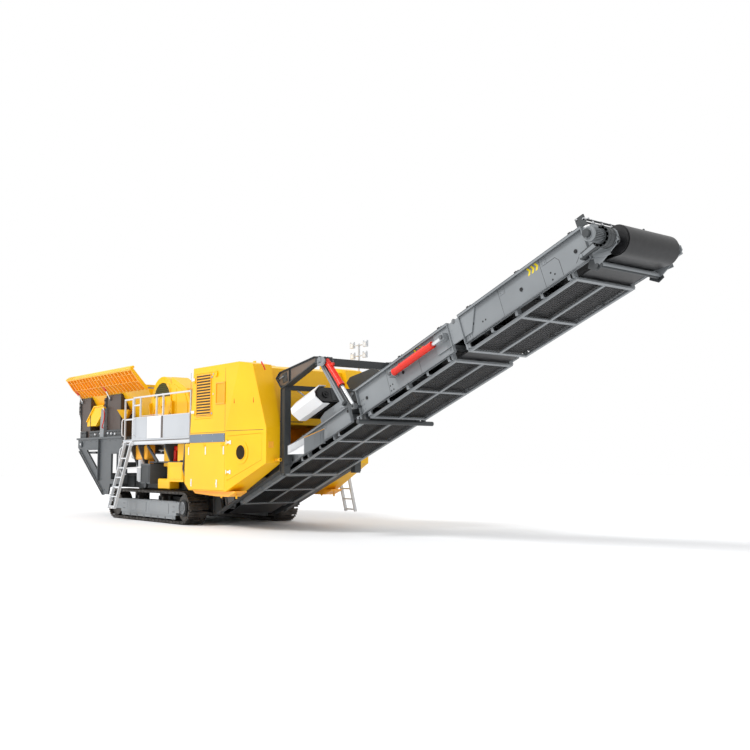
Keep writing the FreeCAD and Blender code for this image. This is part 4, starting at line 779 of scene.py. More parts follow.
# ---- side platforms, guard rails and gate frames ---------------------------------------------
# Walkways on both sides with a smooth light-grey fascia, screwed from the outside, and tube rails
# welded to square posts. Hand loops beside the ladders are bent from round tube.
FACE_Y = 1.5
DECK_Z = 2.03
RIGHT = 0.13
coat_nodes(light_grey, "platform_near", "platform_far", "railing_near", "railing_far", "ladder_near",
           "ladder_far", "light_mast", "magnet_chute")
white_paint = machine_paint("white_enamel", "#EDEEF0", "#E6E7E9", "#C2BCB0", 0.3, 0.12)
panel_grey = machine_paint("silver_grey_enamel", "#B9BDC2", "#B1B5BA", "#A9A398", 0.34, 0.12)
tread = bare_steel("chequered_steel_plate", "#8B8D8F", "#6E7072", 0.45, 6)
fascia, greys, gaps, decks, loops = [], [], [], [], []
for side in (-1, 1):
    fascia.append(sided(side, -2.14, -1.38, FACE_Y, FACE_Y + 0.014, 2.05, 2.588, 0.004))
    for x0, x1 in ((-3.03, -2.17), (-1.25, 0.12)):
        greys.append(sided(side, x0, x1, FACE_Y, FACE_Y + 0.006, 2.05, 2.585, 0.002))
        greys.append(bolts(0.007, [outward(side, x, FACE_Y + 0.006, z)
                                   for x in (x0 + 0.04, (x0 + x1) / 2, x1 - 0.04)
                                    for z in (2.09, 2.55)], facing_y(side)))
    # Dark strips between the fascia panels and under the deck edge: painted shade in the gaps.
    gaps.append(sided(side, -1.36, -1.27, FACE_Y - 0.004, FACE_Y + 0.002, 2.05, 2.585, 0))
    gaps.append(sided(side, -3.02, 0.12, FACE_Y - 0.004, FACE_Y + 0.003, 1.985, 2.0, 0))
    gaps.append(sided(side, -3.55, -3.1, FACE_Y - 0.004, FACE_Y + 0.003, 1.93, 1.965, 0))
    greys.append(sided(side, -3.6, RIGHT, FACE_Y, FACE_Y + 0.012, 2.008, 2.036, 0.002))
    greys.append(sided(side, -3.6, RIGHT, FACE_Y, FACE_Y + 0.012, 1.896, 1.92, 0.002))
    decks.append(sided(side, -3.58, RIGHT, 1.09, 1.47, DECK_Z, DECK_Z + 0.005, 0.001))
    for i in range(12):
        for j in range(3):
            x, y = -3.45 + i * 0.3, 1.15 + j * 0.13
            decks.append(sided(side, x, x + 0.12, y, y + 0.012, DECK_Z + 0.005, DECK_Z + 0.009, 0))
ladder_spots = ((-1, -3.4), (1, 1.56))
for side, x in ladder_spots:
    for x0 in (x - 0.12, x + 0.54):
        foot = 1.44 if x0 > 1.82 else 1.5
        bend = [outward(side, x0, y, z) for y, z in ((foot, 2.12), (1.56, 2.14), (1.575, 2.2), (1.575, 2.5),
                                                     (1.56, 2.56), (foot, 2.58))]
        loops += bent(bend, 0.015)
    if side < 0:
        bend = [outward(side, x - 0.2, y, z) for y, z in ((1.46, 1.9), (1.57, 1.8), (1.6, 1.6), (1.6, 1.3),
                                                          (1.5, 1.14), (1.4, 1.14))]
        loops += bent(bend, 0.015)
        loops.append(flat_bar(at(x + 0.1, -1.52, 1.3), at(x + 0.85, -1.36, 1.34), 0.03, 0.03))
    for x0 in (x - 0.045, x + 0.465):
        loops.append(tube(outward(side, x0, 1.545, 1.92), outward(side, x0 - 0.012, 1.545, 1.92), 0.05, 24))
fit(fascia, "platform_fascia", white_paint)
fit(greys, "fascia_panels", panel_grey)
fit(gaps, "platform_gaps", umber_shade)
fit(decks, "walkway_plates", tread)
fit(loops, "hand_loops", white_paint, smooth=40)
posts, caps = [], []
for side in (-1, 1):
    for x in (-3.05, -2.66, -1.73, -1.36, 0.092):
        posts.append(sided(side, x - 0.02, x + 0.058, 1.47, 1.512, DECK_Z, DECK_Z + 0.012, 0.002))
        posts.append(sided(side, x - 0.003, x + 0.041, 1.438, 1.49, 3.126, 3.136, 0.002))
    for z in (2.45, 2.62):
        posts.append(sided(side, -2.66, -1.36, 1.474, 1.484, z, z + 0.012, 0.002))
fit(posts, "rail_feet", light_grey)
for side, x, name in ((-1, -3.4, "ladder_near"), (1, 1.56, "ladder_far")):
    grips = []
    for i in range(1, 7):
        length = math.hypot(0.4, 1.62)
        t = (length - 0.04 - (i - 1) * 0.25) / length
        y, z = 1.545 + 0.4 * t, 1.92 - 1.62 * t
        if z < 1.83:
            for j in range(6):
                grips.append(sided(side, x + 0.06 + j * 0.054, x + 0.084 + j * 0.054, y - 0.014, y + 0.014,
                                   z + 0.014, z + 0.019, 0.001))
    for x0 in (x, x + 0.38):
        grips.append(tube(outward(side, x0 + 0.002, 1.545, 1.92), outward(side, x0 + 0.038, 1.545, 1.92),
                          0.046, 24))
        grips.append(sided(side, x0 - 0.002, x0 + 0.042, 1.925, 1.975, 0.286, 0.302, 0.004))
    fit(joined(grips), name + "_grips", white_paint, name, smooth=30)

# ---- tanks, covers and pipes under the platforms ----------------------------------------------
# Hydraulic tank, valve cabinet, ducts and brackets hung between the platform and the tracks: folded
# sheet boxes with pressed panels, latches and filler caps.
coat_nodes(yellow, "tanks")
boxes, reds, darks, ducts, covers = [], [], [], [], []
for side in (-1, 1):
    tank_face = sided(side, -1.1, -0.37, 1.41, 1.422, 1.05, 1.4, 0.003)
    boxes.append(pocket(tank_face, outer(side), 0.03, 0.006))
    boxes.append(bolt_rows(side, 0.009, 1.422, (-1.085, -0.735, -0.385), (1.064, 1.386)))
    boxes.append(sided(side, -1.87, -1.22, 1.05, 1.32, 0.8, 1.05, 0.02))
    boxes.append(sided(side, -1.8, -1.4, 1.02, 1.2, 1.35, 1.895, 0.012))
    boxes.append(sided(side, -0.9, -0.55, 1.0, 1.28, 1.45, 1.895, 0.012))
    darks.append(tube(outward(side, -0.5, 1.36, 1.45), outward(side, -0.5, 1.36, 1.5), 0.05, 24))
    darks.append(flat_bar(outward(side, -2.52, 1.3, 1.87), outward(side, -1.93, 1.3, 1.46), 0.05, 0.06))
    darks.append(sided(side, -2.41, -0.64, 1.0, 1.3, 1.44, 1.475, 0.003))
    for x in (-2.2, -1.3):
        darks.append(flat_bar(outward(side, x, 1.28, 1.46), outward(side, x, 1.02, 1.12), 0.04, 0.04))
    reds.append(sided(side, -1.4, -1.1, 1.14, 1.2, 1.73, 1.85, 0.02))
    reds.append(tube(outward(side, -1.25, 1.16, 1.5), outward(side, -1.25, 1.16, 1.74), 0.05, 20))
    reds.append(sided(side, -1.35, -1.15, 1.1, 1.22, 1.475, 1.52, 0.008))
    darks.append(flat_bar(outward(side, -0.14, 1.46, 1.9), outward(side, -0.23, 1.46, 1.29), 0.03, 0.05))
    darks.append(flat_bar(outward(side, -0.23, 1.46, 1.3), outward(side, -0.12, 1.46, 1.14), 0.03, 0.05))
    covers.append(sided(side, -3.3, -2.6, 1.05, 1.3, 1.52, 1.895, 0.03))
    doors = sided(side, -2.66, -2.19, 1.4, 1.412, 0.96, 1.38, 0.003)
    covers.append(sided(side, -2.98, -2.7, 1.02, 1.18, 1.2, 1.52, 0.02))
    darks.append(pocket(doors, outer(side), 0.03, 0.006))
    ducts.append(tube(outward(side, -3.05, 1.2, 0.95), outward(side, -3.05, 1.2, 1.52), 0.1, 28))
    elbow = [outward(side, x, 1.12, z) for x, z in ((-3.75, 1.62), (-3.6, 1.6), (-3.46, 1.5), (-3.38, 1.34),
                                                    (-3.36, 1.0))]
    for a, b in zip(elbow, elbow[1:]):
        ducts.append(tube(a, b + (b - a) * 0.08, 0.075, 24, 0))
    darks.append(stud(side, -2.4, 1.35, 1.42, 0.88, 0.07, 28))
fit(boxes, "tank_panels", yellow)
fit(covers, "feed_covers", orange_and_painted_shade)
fit(reds, "pump_blocks", red_paint)
fit(darks, "under_deck_steel", frame_grey, smooth=30)
fit(ducts, "air_ducts", light_grey, smooth=40)

# ---- machine housing ------------------------------------------------------------------------
# Sheet pods round the engine and the switchgear, with a hood over them. The doors hang on welded
# lift-off hinges and close on quarter-turn latches; the upper one is pressed with drain louvres.
SKIN_Y = 1.5
FACET_X = 1.82
FACET_TURN = math.radians(6.5)
KINK_Z = 2.16
FACET_LEAN = 0.0457
coat_nodes(yellow, "pod_near", "pod_far", "engine_hood", "louvre_door", "lower_door", "vent_door")
# Dark brown behind slots and grilles: painted shade.
slot_shade = machine_paint("brown_painted_slot_shade", "#3B2C18", "#32250F", "#6B5A44", 0.5)
band_grey = machine_paint("slate_enamel", "#6F7C8A", "#66727F", "#9B978F", 0.36)
zinc = bare_steel("zinc_plate", "#DADCDE", "#B9BCBF", 0.3, 4)


def on_facet(s, z, lift=0.0):
    """A place on the near facet: s forward of its edge, z up, and lift off the sheet."""
    lean = max(0.0, z - KINK_Z) * FACET_LEAN
    along, out = Vector((math.cos(FACET_TURN), math.sin(FACET_TURN), 0)), Vector((math.sin(FACET_TURN),
                                                                                  -math.cos(FACET_TURN), 0))
    return at(FACET_X, -SKIN_Y, z) + along * s + out * (lift - lean)


def facet_bar(s0, s1, z0, z1, lift0, lift1, soft=0.003):
    """A block laid on the near facet."""
    piece = block((s0, -lift1, z0), (s1, -lift0, z1), soft)
    lean = math.atan(FACET_LEAN) if (z0 + z1) / 2 > KINK_Z else 0.0
    pivot = on_facet(0, (z0 + z1) / 2)
    piece.data.transform(Matrix.Translation(pivot) @ Matrix.Rotation(FACET_TURN, 4, "Z")
                         @ Matrix.Rotation(-lean, 4, "X") @ Matrix.Translation((0, 0, -(z0 + z1) / 2)))
    return piece


# The louvre door's orange frame is painted shade round its recess, and the dark brown sheet behind its blades
# is painted shade in the slots.
frames, slots, straps, louvre_blades, latches, seams = [], [], [], [], [], []
LOUVRE_BOX = (0.47, 1.13, 2.5, 3.42)
x0, x1, z0, z1 = LOUVRE_BOX
for low, high in (((x0 - 0.02, z0 - 0.02), (x1 + 0.02, z0)), ((x0 - 0.02, z1), (x1 + 0.02, z1 + 0.02)),
                  ((x0 - 0.02, z0), (x0, z1)), ((x1, z0), (x1 + 0.02, z1))):
    frames.append(sided(-1, low[0], high[0], SKIN_Y, SKIN_Y + 0.016, low[1], high[1], 0.003))
slots.append(sided(-1, x0, x1, SKIN_Y, SKIN_Y + 0.003, z0, z1, 0))
for i in range(14):
    z = z0 + 0.012 + i * (z1 - z0 - 0.01) / 14
    louvre_blades.append(cutout([at(x0 + 0.012, -SKIN_Y - 0.002, z), at(x0 + 0.012, -SKIN_Y - 0.018, z),
                                 at(x0 + 0.012, -SKIN_Y - 0.006, z + 0.03), at(x0 + 0.012, -SKIN_Y - 0.002,
                                                                               z + 0.03)],
                                Vector((x1 - x0 - 0.024, 0, 0)), 0.0015))
fit(frames, "louvre_frame", orange_and_painted_shade, "louvre_door")
fit(slots, "louvre_shadow", slot_shade, "louvre_door")
fit(louvre_blades, "louvre_blades", cast_and_shade_yellow, "louvre_door")
door_latches = [tube(at(x, -SKIN_Y, z), at(x, -SKIN_Y - 0.014, z), 0.026, 20, 0.003) for x,
                z in ((1.19, 2.54), (1.19, 3.36))]
door_latches += [sided(-1, x - 0.006, x + 0.006, SKIN_Y + 0.012, SKIN_Y + 0.022, z - 0.022, z + 0.022, 0.002)
                 for x, z in ((1.19, 2.54), (1.19, 3.36))]
fit(door_latches, "louvre_latches", zinc, "louvre_door", smooth=35)

trims, far_louvres, recess, inner = [], [], [], []
for side in (-1, 1):
    for z in (2.6, 3.35):
        strap = sided(side, 0.2, 0.36, SKIN_Y, SKIN_Y + 0.01, z - 0.03, z + 0.03, 0.003)
        straps.append(strap)
        straps.append(bolts(0.009, [outward(side, x, SKIN_Y + 0.01, z) for x in (0.23, 0.3)], facing_y(side)))
    # The hatch is an orange frame round a deep yellow panel: painted shade of a recess that is not modelled.
    for low, high in (((1.37, 2.73), (1.4, 3.22)), ((1.76, 2.73), (1.79, 3.22)), ((1.4, 3.19), (1.76, 3.22)),
                      ((1.4, 2.73), (1.76, 2.76))):
        recess.append(sided(side, low[0], high[0], SKIN_Y, SKIN_Y + 0.02, low[1], high[1], 0.004))
    inner.append(sided(side, 1.4, 1.76, SKIN_Y, SKIN_Y + 0.004, 2.76, 3.19, 0.001))
    cap = stud(side, 1.38, SKIN_Y, SKIN_Y + 0.03, 3.42, 0.07, 32, 0.006)
    trims.append(pocket(cap, outer(side), 0.014, 0.006))
    for x, z in ((1.25, 2.97), (1.25, 3.42)):
        latches.append(stud(side, x, SKIN_Y, SKIN_Y + 0.012, z, 0.02, 16))
    # Umber strips along the door edges: painted shade in the door gaps.
    for x in (0.17, 1.79):
        seams.append(sided(side, x - 0.004, x + 0.004, SKIN_Y - 0.002, SKIN_Y + 0.0015, 2.12, 3.52, 0))
    seams.append(sided(side, 0.17, 1.79, SKIN_Y - 0.002, SKIN_Y + 0.0015, 2.112, 2.12, 0))
    band = sided(side, 0.16, 1.8, SKIN_Y, SKIN_Y + 0.012, 1.895, 2.085, 0.004)
    latches.append(bolt_rows(side, 0.008, SKIN_Y + 0.012, (0.2, 0.74, 1.26, 1.76), (1.92, 2.06)))
    fit(band, "side_band_near" if side < 0 else "side_band_far", band_grey)
for x in (-0.03, 0.72, 1.62):
    latches.append(sided(1, x - 0.045, x + 0.045, SKIN_Y, SKIN_Y + 0.014, 1.79, 1.86, 0.004))
far_slots = sided(1, 0.48, 1.12, SKIN_Y + 0.001, SKIN_Y + 0.007, 2.51, 3.41, 0)
fit(far_slots, "far_louvre_shadow", slot_shade)
far_frame = sided(1, 0.45, 1.15, SKIN_Y, SKIN_Y + 0.014, 2.48, 3.44, 0.004)
trims.append(pocket(far_frame, outer(1), 0.022, 0.008))
for i in range(14):
    z = 2.52 + i * 0.065
    far_louvres.append(sided(1, 0.48, 1.12, SKIN_Y + 0.004, SKIN_Y + 0.018, z, z + 0.022, 0.004))
fit(far_louvres, "far_louvres", cast_and_shade_yellow)
fit(trims, "housing_trim", yellow, smooth=30)
fit(recess, "hatch_frames", orange_and_painted_shade)
fit(inner, "hatch_panels", cast_and_shade_yellow)
fit(seams, "panel_seams", umber_shade)
fit(straps, "strap_hinges", white_paint)
fit(latches, "housing_latches", zinc, smooth=35)

# The lower door: hooks it is lifted by, quarter-turn latches and a pressed stiffening frame.
lower = []
for x in (0.26, 1.45):
    dial = tube(at(x, -SKIN_Y, 0.98), at(x, -SKIN_Y - 0.014, 0.98), 0.034, 24, 0.004)
    lower.append(pocket(dial, outer(-1), 0.008, 0.004))
    lower.append(sided(-1, x - 0.022, x + 0.022, SKIN_Y, SKIN_Y + 0.008, 0.9, 1.07, 0.003))
    lower.append(sided(-1, x - 0.007, x + 0.007, SKIN_Y + 0.008, SKIN_Y + 0.02, 0.955, 1.005, 0.002))
for x in (0.04, 0.85, 1.67):
    lower.append(sided(-1, x + 0.06, x + 0.1, SKIN_Y, SKIN_Y + 0.012, 1.62, 1.8, 0.004))
    lower.append(bolts(0.008, [at(x + 0.08, -SKIN_Y - 0.012, z) for z in (1.66, 1.74)], facing_y(-1)))
fit(lower, "lower_door_fittings", white_paint, "lower_door", smooth=35)

# The vent door: a rolled grille in the middle, lift-off hinges and a T-handle.
VENT_SPOT = on_facet(0.57, 1.66, 0.0)
out = Vector((math.sin(FACET_TURN), -math.cos(FACET_TURN), 0))
ring = tube(VENT_SPOT, VENT_SPOT + out * 0.02, 0.172, 48, 0.004)
ring = pocket(ring, lambda middle, normal: normal.dot(out) > 0.99, 0.014, 0.012)
dish = tube(VENT_SPOT, VENT_SPOT + out * 0.01, 0.25, 56, 0.004)
ring = joined([ring, dish])
fit(ring, "vent_ring", yellow, "vent_door", smooth=35)
# The grille's disc and bars are dark brown: painted shade inside the vent.
grille = [tube(VENT_SPOT + out * 0.009, VENT_SPOT + out * 0.0125, 0.156, 48, 0)]
for i in range(17):
    s = -0.144 + i * 0.018
    tall = math.sqrt(0.155 ** 2 - s * s)
    grille.append(facet_bar(0.57 + s - 0.0035, 0.57 + s + 0.0035, 1.66 - tall, 1.66 + tall, 0.013, 0.018, 0))
fit(grille, "vent_grille", slot_shade, "vent_door")
bones = []
for z in (1.88, 1.24):
    for s in (0.03, 0.16):
        bones.append(facet_bar(s, s + 0.05, z - 0.042, z + 0.042, 0.001, 0.012, 0.004))
    bones.append(facet_bar(0.08, 0.16, z - 0.022, z + 0.022, 0.001, 0.014, 0.004))
handle = [on_facet(0.34, z, lift) for z, lift in ((2.72, 0.0), (2.72, 0.05), (2.86, 0.05), (2.86, 0.0))]
handle_far = [on_facet(1.02, z, lift) for z, lift in ((2.71, 0.0), (2.71, 0.05), (2.84, 0.05), (2.84, 0.0))]
grips = bent(handle, 0.011) + bent(handle_far, 0.011)
fit(bones, "vent_door_leaves", white_paint, "vent_door")
fit(grips, "hood_handles", red_paint, smooth=40)
# Umber lines on the facet: painted shade in its seams.
edge_trim = [facet_bar(0.0, 1.34, 2.125, 2.135, -0.002, 0.0015, 0),
             facet_bar(0.9, 0.906, 2.2, 3.3, -0.002, 0.0015, 0),
             facet_bar(0.02, 0.026, 2.2, 3.5, -0.002, 0.0015, 0)]
fit(edge_trim, "facet_seams", umber_shade)

# Roof seams, the sills at the ends of the house, and the sump strip below the lower door.
roof, ends, sump = [], [], []
for x in (0.95, 1.62):
    roof.append(block(at(x, -0.96, 3.61), at(x + 0.05, 0.96, 3.625), 0.004))
for y in (-0.7, 0.0, 0.7):
    roof.append(block(at(0.4, y - 0.24, 3.61), at(0.9, y + 0.24, 3.618), 0.003))
for side in (-1, 1):
    for i in range(9):
        roof.append(bolts(0.009, [outward(side, 0.4 + 0.2 * i, 1.03, 3.61)], Matrix.Identity(4)))
roof.append(tube(at(0.7, 0.35, 3.62), at(0.7, 0.35, 3.72), 0.085, 32, 0.006))
roof.append(tube(at(0.7, 0.35, 3.72), at(0.7, 0.35, 3.76), 0.11, 32, 0.012))
lifting = [block(at(x, y - 0.008, 3.61), at(x + 0.12, y + 0.008, 3.69), 0.006) for x in (0.45, 1.95)
           for y in (-0.9, 0.9)]
# The sills are thin umber strips on the end face: painted shade.
for y in (-0.7, 0.7):
    ends.append(block(at(3.04, y - 0.4, 2.3), at(3.05, y + 0.4, 2.32), 0.002))
SUMP = [(0.16, 0.815), (0.3, 0.74), (1.28, 0.7), (1.84, 0.7), (2.12, 0.8), (2.12, 0.83), (1.84, 0.815)]
for y in (-1.42, 1.12):
    sump.append(cutout([at(x, y, z) for x, z in SUMP], Vector((0, 0.3, 0)), 0.003))
for x, y in ((1.41, -1.35), (1.98, -1.3), (1.41, 1.35), (1.98, 1.3)):
    roof.append(block(at(x - 0.03, y - 0.012, 0.66), at(x + 0.03, y + 0.012, 0.74), 0.008))
pipe_run = [on_facet(1.16, 3.52, -0.02), on_facet(1.2, 3.56, 0.03), on_facet(1.29, 3.45, 0.03),
            on_facet(1.3, 3.38, 0.0)]
tubes = bent(pipe_run, 0.014)
fit(roof + lifting, "roof_fittings", yellow, smooth=30)
fit(ends, "end_sills", umber_shade)
for side in (-1, 1):
    lamp_box = sided(side, 3.238, 3.248, 1.16, 1.28, 1.75, 1.88, 0.002)
    sump.append(pocket(lamp_box, lambda middle, normal: normal.x > 0.99, 0.018, 0.006))
fit(sump, "sump_strips", orange_and_painted_shade)
fit(tubes, "roof_pipe", red_paint, smooth=40)

# ---- discharge conveyor ---------------------------------------------------------------------
# Three plate sections, bolted at the splices and hinged where the top folds. The belt is
# black rubber; woven-wire guards in grey frames hang below so that nobody reaches the return run.
SLOPE = math.radians(20.6)
LINE_X = -0.114
BELT_SIDE = 0.75
PLATE_LOW = 0.11
PLATE_HIGH = 0.66
BELT_LOW_HIGH = 0.48
up_line = Matrix.Translation(at(LINE_X, 0, 0)) @ Matrix.Rotation(-SLOPE, 4, "Y")
coat_nodes(plate_grey, "conveyor_low", "conveyor_mid", "conveyor_top", "fold_plates", "guard_frames")
chevron_yellow = machine_paint("signal_yellow_enamel", "#E8D21A", "#DFC612", "#B9A96A", 0.36, 0.12)
rubber, tree, spot = material("carcass_rubber")
scuff = noise(tree, spot, {"Scale": 9.0, "Detail": 8.0, "Roughness": 0.7})
grain = noise(tree, spot, {"Scale": 220.0, "Detail": 2.0})
wear = add(tree, "MapRange", None, {0: scuff.outputs["Fac"], 1: 0.45, 2: 0.72})
tint = mixed(tree, wear.outputs[0], linear("#101012"), linear("#1F1F21"))
bump = add(tree, "Bump", None, {"Strength": 0.3, "Distance": 0.001, "Height": grain.outputs["Fac"]})
skin = add(tree, "BsdfPrincipled", None, {"Base Color": tint.outputs[2], "Roughness": 0.4,
                                          "Normal": bump.outputs[0]})
surface(tree, skin)
coat_nodes(rubber, "belt")


def lined_up(piece):
    """Turns pieces modelled along the belt line (length, width, height) into their place, as one."""
    piece = joined(piece) if isinstance(piece, list) else piece
    piece.data.transform(up_line)
    return piece


def on_plate(side, u0, u1, y0, y1, v0, v1, soft=0.003):
    """A block on the near or far plate of the conveyor, still lying level."""
    low, high = sorted((side * y0, side * y1))
    return block((u0, low, v0), (u1, high, v1), soft)


def plate_blank(side, outline, y, thick, soft=0.002):
    return cutout([Vector((u, side * y, v)) for u, v in outline], Vector((0, side * thick, 0)), soft)


def side_bolts(side, size, spots, y):
    return bolts(size, [Vector((u, side * y, v)) for u, v in spots], facing_y(side))


ribs, caps, chevrons, clips, joints, hole_shades = [], [], [], [], [], []
SECTIONS = ((0.876, 6.025, BELT_LOW_HIGH), (6.324, 9.134, PLATE_HIGH), (9.422, 12.306, PLATE_HIGH))
for side in (-1, 1):
    for u0, u1, top in SECTIONS:
        ribs.append(on_plate(side, u0, u1, BELT_SIDE, BELT_SIDE + 0.05, PLATE_LOW, PLATE_LOW + 0.014))
        ribs.append(on_plate(side, u0, u1, BELT_SIDE + 0.046, BELT_SIDE + 0.06, top - 0.045, top))
        for u in (u0 + 0.004, u1 - 0.018):
            ribs.append(on_plate(side, u, u + 0.014, BELT_SIDE, BELT_SIDE + 0.055, PLATE_LOW, top - 0.01))
        count = 4 if u1 - u0 > 4 else 2
        for i in range(1, count + 1):
            u = u0 + (u1 - u0) * i / (count + 1)
            joints.append(on_plate(side, u - 0.003, u + 0.003, BELT_SIDE, BELT_SIDE + 0.0012,
                                   PLATE_LOW + 0.02, top - 0.02, 0))
            ribs.append(on_plate(side, u + 0.02, u + 0.14, BELT_SIDE, BELT_SIDE + 0.006, top - 0.16,
                                 top - 0.05, 0.002))
            ribs.append(side_bolts(side, 0.009, [(u + 0.05, top - 0.085), (u + 0.11, top - 0.085),
                                                 (u + 0.05, top - 0.125), (u + 0.11,
                                                                           top - 0.125)], BELT_SIDE + 0.006))
    # Black discs and strokes on the side plates: painted shade in holes and slots that are not cut through.
    for u, v in ((7.3, 0.2), (7.37, 0.2), (7.3, 0.3), (7.37, 0.3), (9.9, 0.3), (9.97, 0.3), (11.5, 0.2),
                 (11.5, 0.32), (11.57, 0.26)):
        hole_shades.append(tube((u, side * BELT_SIDE, v), (u, side * (BELT_SIDE + 0.0015), v), 0.016, 16, 0))
    for line in ([(9.0, 0.63), (9.09, 0.6), (9.1, 0.5), (9.02, 0.44)],
                 [(9.5, 0.62), (9.52, 0.4), (9.6, 0.3), (9.6, 0.14)],
                 [(12.0, 0.2), (12.12, 0.3), (12.28, 0.32)], [(11.4, 0.5), (11.66, 0.5), (11.72, 0.42),
                                                              (11.72, 0.14)]):
        for (ua, va), (ub, vb) in zip(line, line[1:]):
            hole_shades.append(flat_bar(Vector((ua, side * BELT_SIDE, va)), Vector((ub, side * BELT_SIDE, vb)),
                                  0.003, 0.006, 0))
    for u in (6.19, 9.28):
        spots = [(u + a, v) for a in (-0.26, -0.2, 0.2, 0.26) for v in (0.2, 0.3, 0.4)]
        ribs.append(side_bolts(side, 0.011, spots, BELT_SIDE + 0.002))
    rollers = [(1.076, 0.376), (2.69, 0.376), (4.31, 0.376), (5.925, 0.376), (6.574, 0.376), (7.73, 0.376),
               (8.884, 0.376), (9.672, 0.376), (10.864, 0.376), (12.056, 0.376)]
    for u, v in rollers:
        top = BELT_LOW_HIGH if u < 6.1 else PLATE_HIGH
        caps.append(on_plate(side, u - 0.03, u + 0.03, BELT_SIDE - 0.06, BELT_SIDE + 0.03, top, top + 0.045,
                             0.01))
        caps.append(on_plate(side, u - 0.018, u + 0.018, BELT_SIDE - 0.09, BELT_SIDE - 0.05, top + 0.02,
                             top + 0.08, 0.006))
        caps.append(tube((u, side * BELT_SIDE, v), (u, side * (BELT_SIDE + 0.014), v), 0.032, 20, 0.003))
    for u in (8.12, 11.07):
        for i in range(3):
            start = u + i * 0.085
            chevrons.append(plate_blank(side, [(start, 0.5), (start + 0.04, 0.5), (start + 0.08, 0.56),
                                               (start + 0.04, 0.625), (start, 0.625), (start + 0.04, 0.56)],
                                        BELT_SIDE, 0.0015, 0))
    for u in (0.98, 12.12):
        ribs.append(side_bolts(side, 0.013, [(u, 0.2), (u, 0.3), (u + 0.09, 0.2), (u + 0.09, 0.3)],
                               BELT_SIDE))
fit(lined_up(ribs), "conveyor_ribs", plate_grey)
fit(lined_up(joints), "conveyor_seams", frame_grey)
fit(lined_up(hole_shades), "plate_hole_shades", black_paint)
fit(lined_up(caps), "idler_caps", black_paint, smooth=35)
fit(lined_up(chevrons), "fold_marks", chevron_yellow)

# Guards: a frame of flat bar with cross wires of drawn steel on a 60 mm pitch.
wire_black = machine_paint("black_plastic_coat", "#0D0E0F", "#090A0B", "#3E3C38", 0.4, 0.1)
wires, low_frame = [], []
LOW_GUARD = (1.4, 3.322)
low_frame.append(block((LOW_GUARD[0], -0.03, 0.0), (LOW_GUARD[1], 0.03, 0.02), 0.003))
for u in (LOW_GUARD[0], sum(LOW_GUARD) / 2 - 0.03, LOW_GUARD[1] - 0.06):
    low_frame.append(block((u, -0.736, 0.0), (u + 0.06, 0.736, 0.022), 0.003))
for side in (-1, 1):
    low_frame.append(on_plate(side, *LOW_GUARD, 0.64, 0.736, 0.0, 0.024))
    low_frame.append(on_plate(side, *LOW_GUARD, 0.724, 0.736, 0.0, 0.13))
fit(lined_up(low_frame), "low_guard_frames", plate_grey)
for u0, u1 in (LOW_GUARD, (3.327, 6.276), (6.468, 9.021), (9.363, 11.895)):
    steps = int((u1 - u0 - 0.12) / 0.06)
    for i in range(1, steps):
        u = u0 + 0.06 + i * (u1 - u0 - 0.12) / steps
        wires.append(block((u - 0.0025, -0.66, 0.0125), (u + 0.0025, 0.66, 0.0175), 0))
    for j in range(1, 22):
        y = -0.66 + j * 0.06
        wires.append(block((u0 + 0.05, y - 0.0025, 0.0095), (u1 - 0.05, y + 0.0025, 0.0145), 0))
    for side in (-1, 1):
        length = u1 - u0
        for i in range(5):
            u = u0 + 0.1 + (length - 0.2) * i / 4
            clips.append(on_plate(side, u - 0.03, u + 0.03, 0.66, 0.755, 0.034, 0.04, 0.002))
            clips.append(on_plate(side, u - 0.03, u + 0.03, 0.7505, 0.7565, 0.034, 0.16, 0.002))
            clips.append(side_bolts(side, 0.009, [(u, 0.135)], 0.7565))
mesh = lined_up(wires)
fit(mesh, "guard_wires", wire_black)
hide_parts("guard_mesh")
fit(lined_up(clips), "guard_clips", plate_grey)

# Fold joints: pin plates with their bosses, and the cylinders that fold the upper section.
FOLD_Y, FOLD_V = 0.85, 0.437
bosses, collars, glands = [], [], []
for side in (-1, 1):
    for u, v, r in ((9.278, 0.62, 0.045), (6.175, 0.62, 0.04)):
        bosses.append(tube((u, side * BELT_SIDE, v), (u, side * (BELT_SIDE + 0.03), v), r, 28))
    for u, r, length in ((7.583, 0.066, 0.05), (8.7, 0.066, 0.03), (8.66, 0.0635, 0.012)):
        collars.append(tube((u, side * FOLD_Y, FOLD_V), (u + length, side * FOLD_Y, FOLD_V), r, 32, 0.004))
    glands.append(tube((8.716, side * FOLD_Y, FOLD_V), (8.962, side * FOLD_Y, FOLD_V), 0.0335, 28, 0))
    for u in (7.78, 8.5):
        collars.append(on_plate(side, u - 0.022, u + 0.022, 0.83, 0.87, 0.49, 0.52, 0.006))
    collars.append(tube((7.79, side * 0.85, 0.508), (8.49, side * 0.85, 0.508), 0.011, 12, 0))
    bosses.append(tube((7.52, side * (BELT_SIDE + 0.02), 0.437), (7.52, side * 0.93, FOLD_V), 0.036, 24))
    bosses.append(tube((9.02, side * (BELT_SIDE + 0.02), 0.437), (9.02, side * 0.93, FOLD_V), 0.036, 24))
fit(lined_up(bosses), "fold_bosses", worn_steel, smooth=35)
fit(lined_up(collars), "fold_cylinder_fittings", red_paint, smooth=35)
fit(lined_up(glands), "fold_piston_rods", chrome, smooth=40)
coat_nodes(red_paint, "cylinder_barrels")
coat_nodes(chrome, "cylinder_rods")

# ---- head end -------------------------------------------------------------------------------
# The lagged head drum is driven by a hollow-shaft gear motor on a torque arm; a belt scraper and two
# dust-spray bars are bolted across the end plates.
HEAD_U = 12.69
HEAD_V = 0.216
DRUM_R = 0.215
coat_nodes(plate_grey, "head_plates")
coat_nodes(rubber, "head_drum")
coat_nodes(frame_grey, "spray_bar")


def about_head(radius, angle, y):
    """A place round the head drum's axle; the angle starts along the belt line and turns upwards."""
    turn = math.radians(angle)
    return Vector((HEAD_U + radius * math.cos(turn), y, HEAD_V + radius * math.sin(turn)))


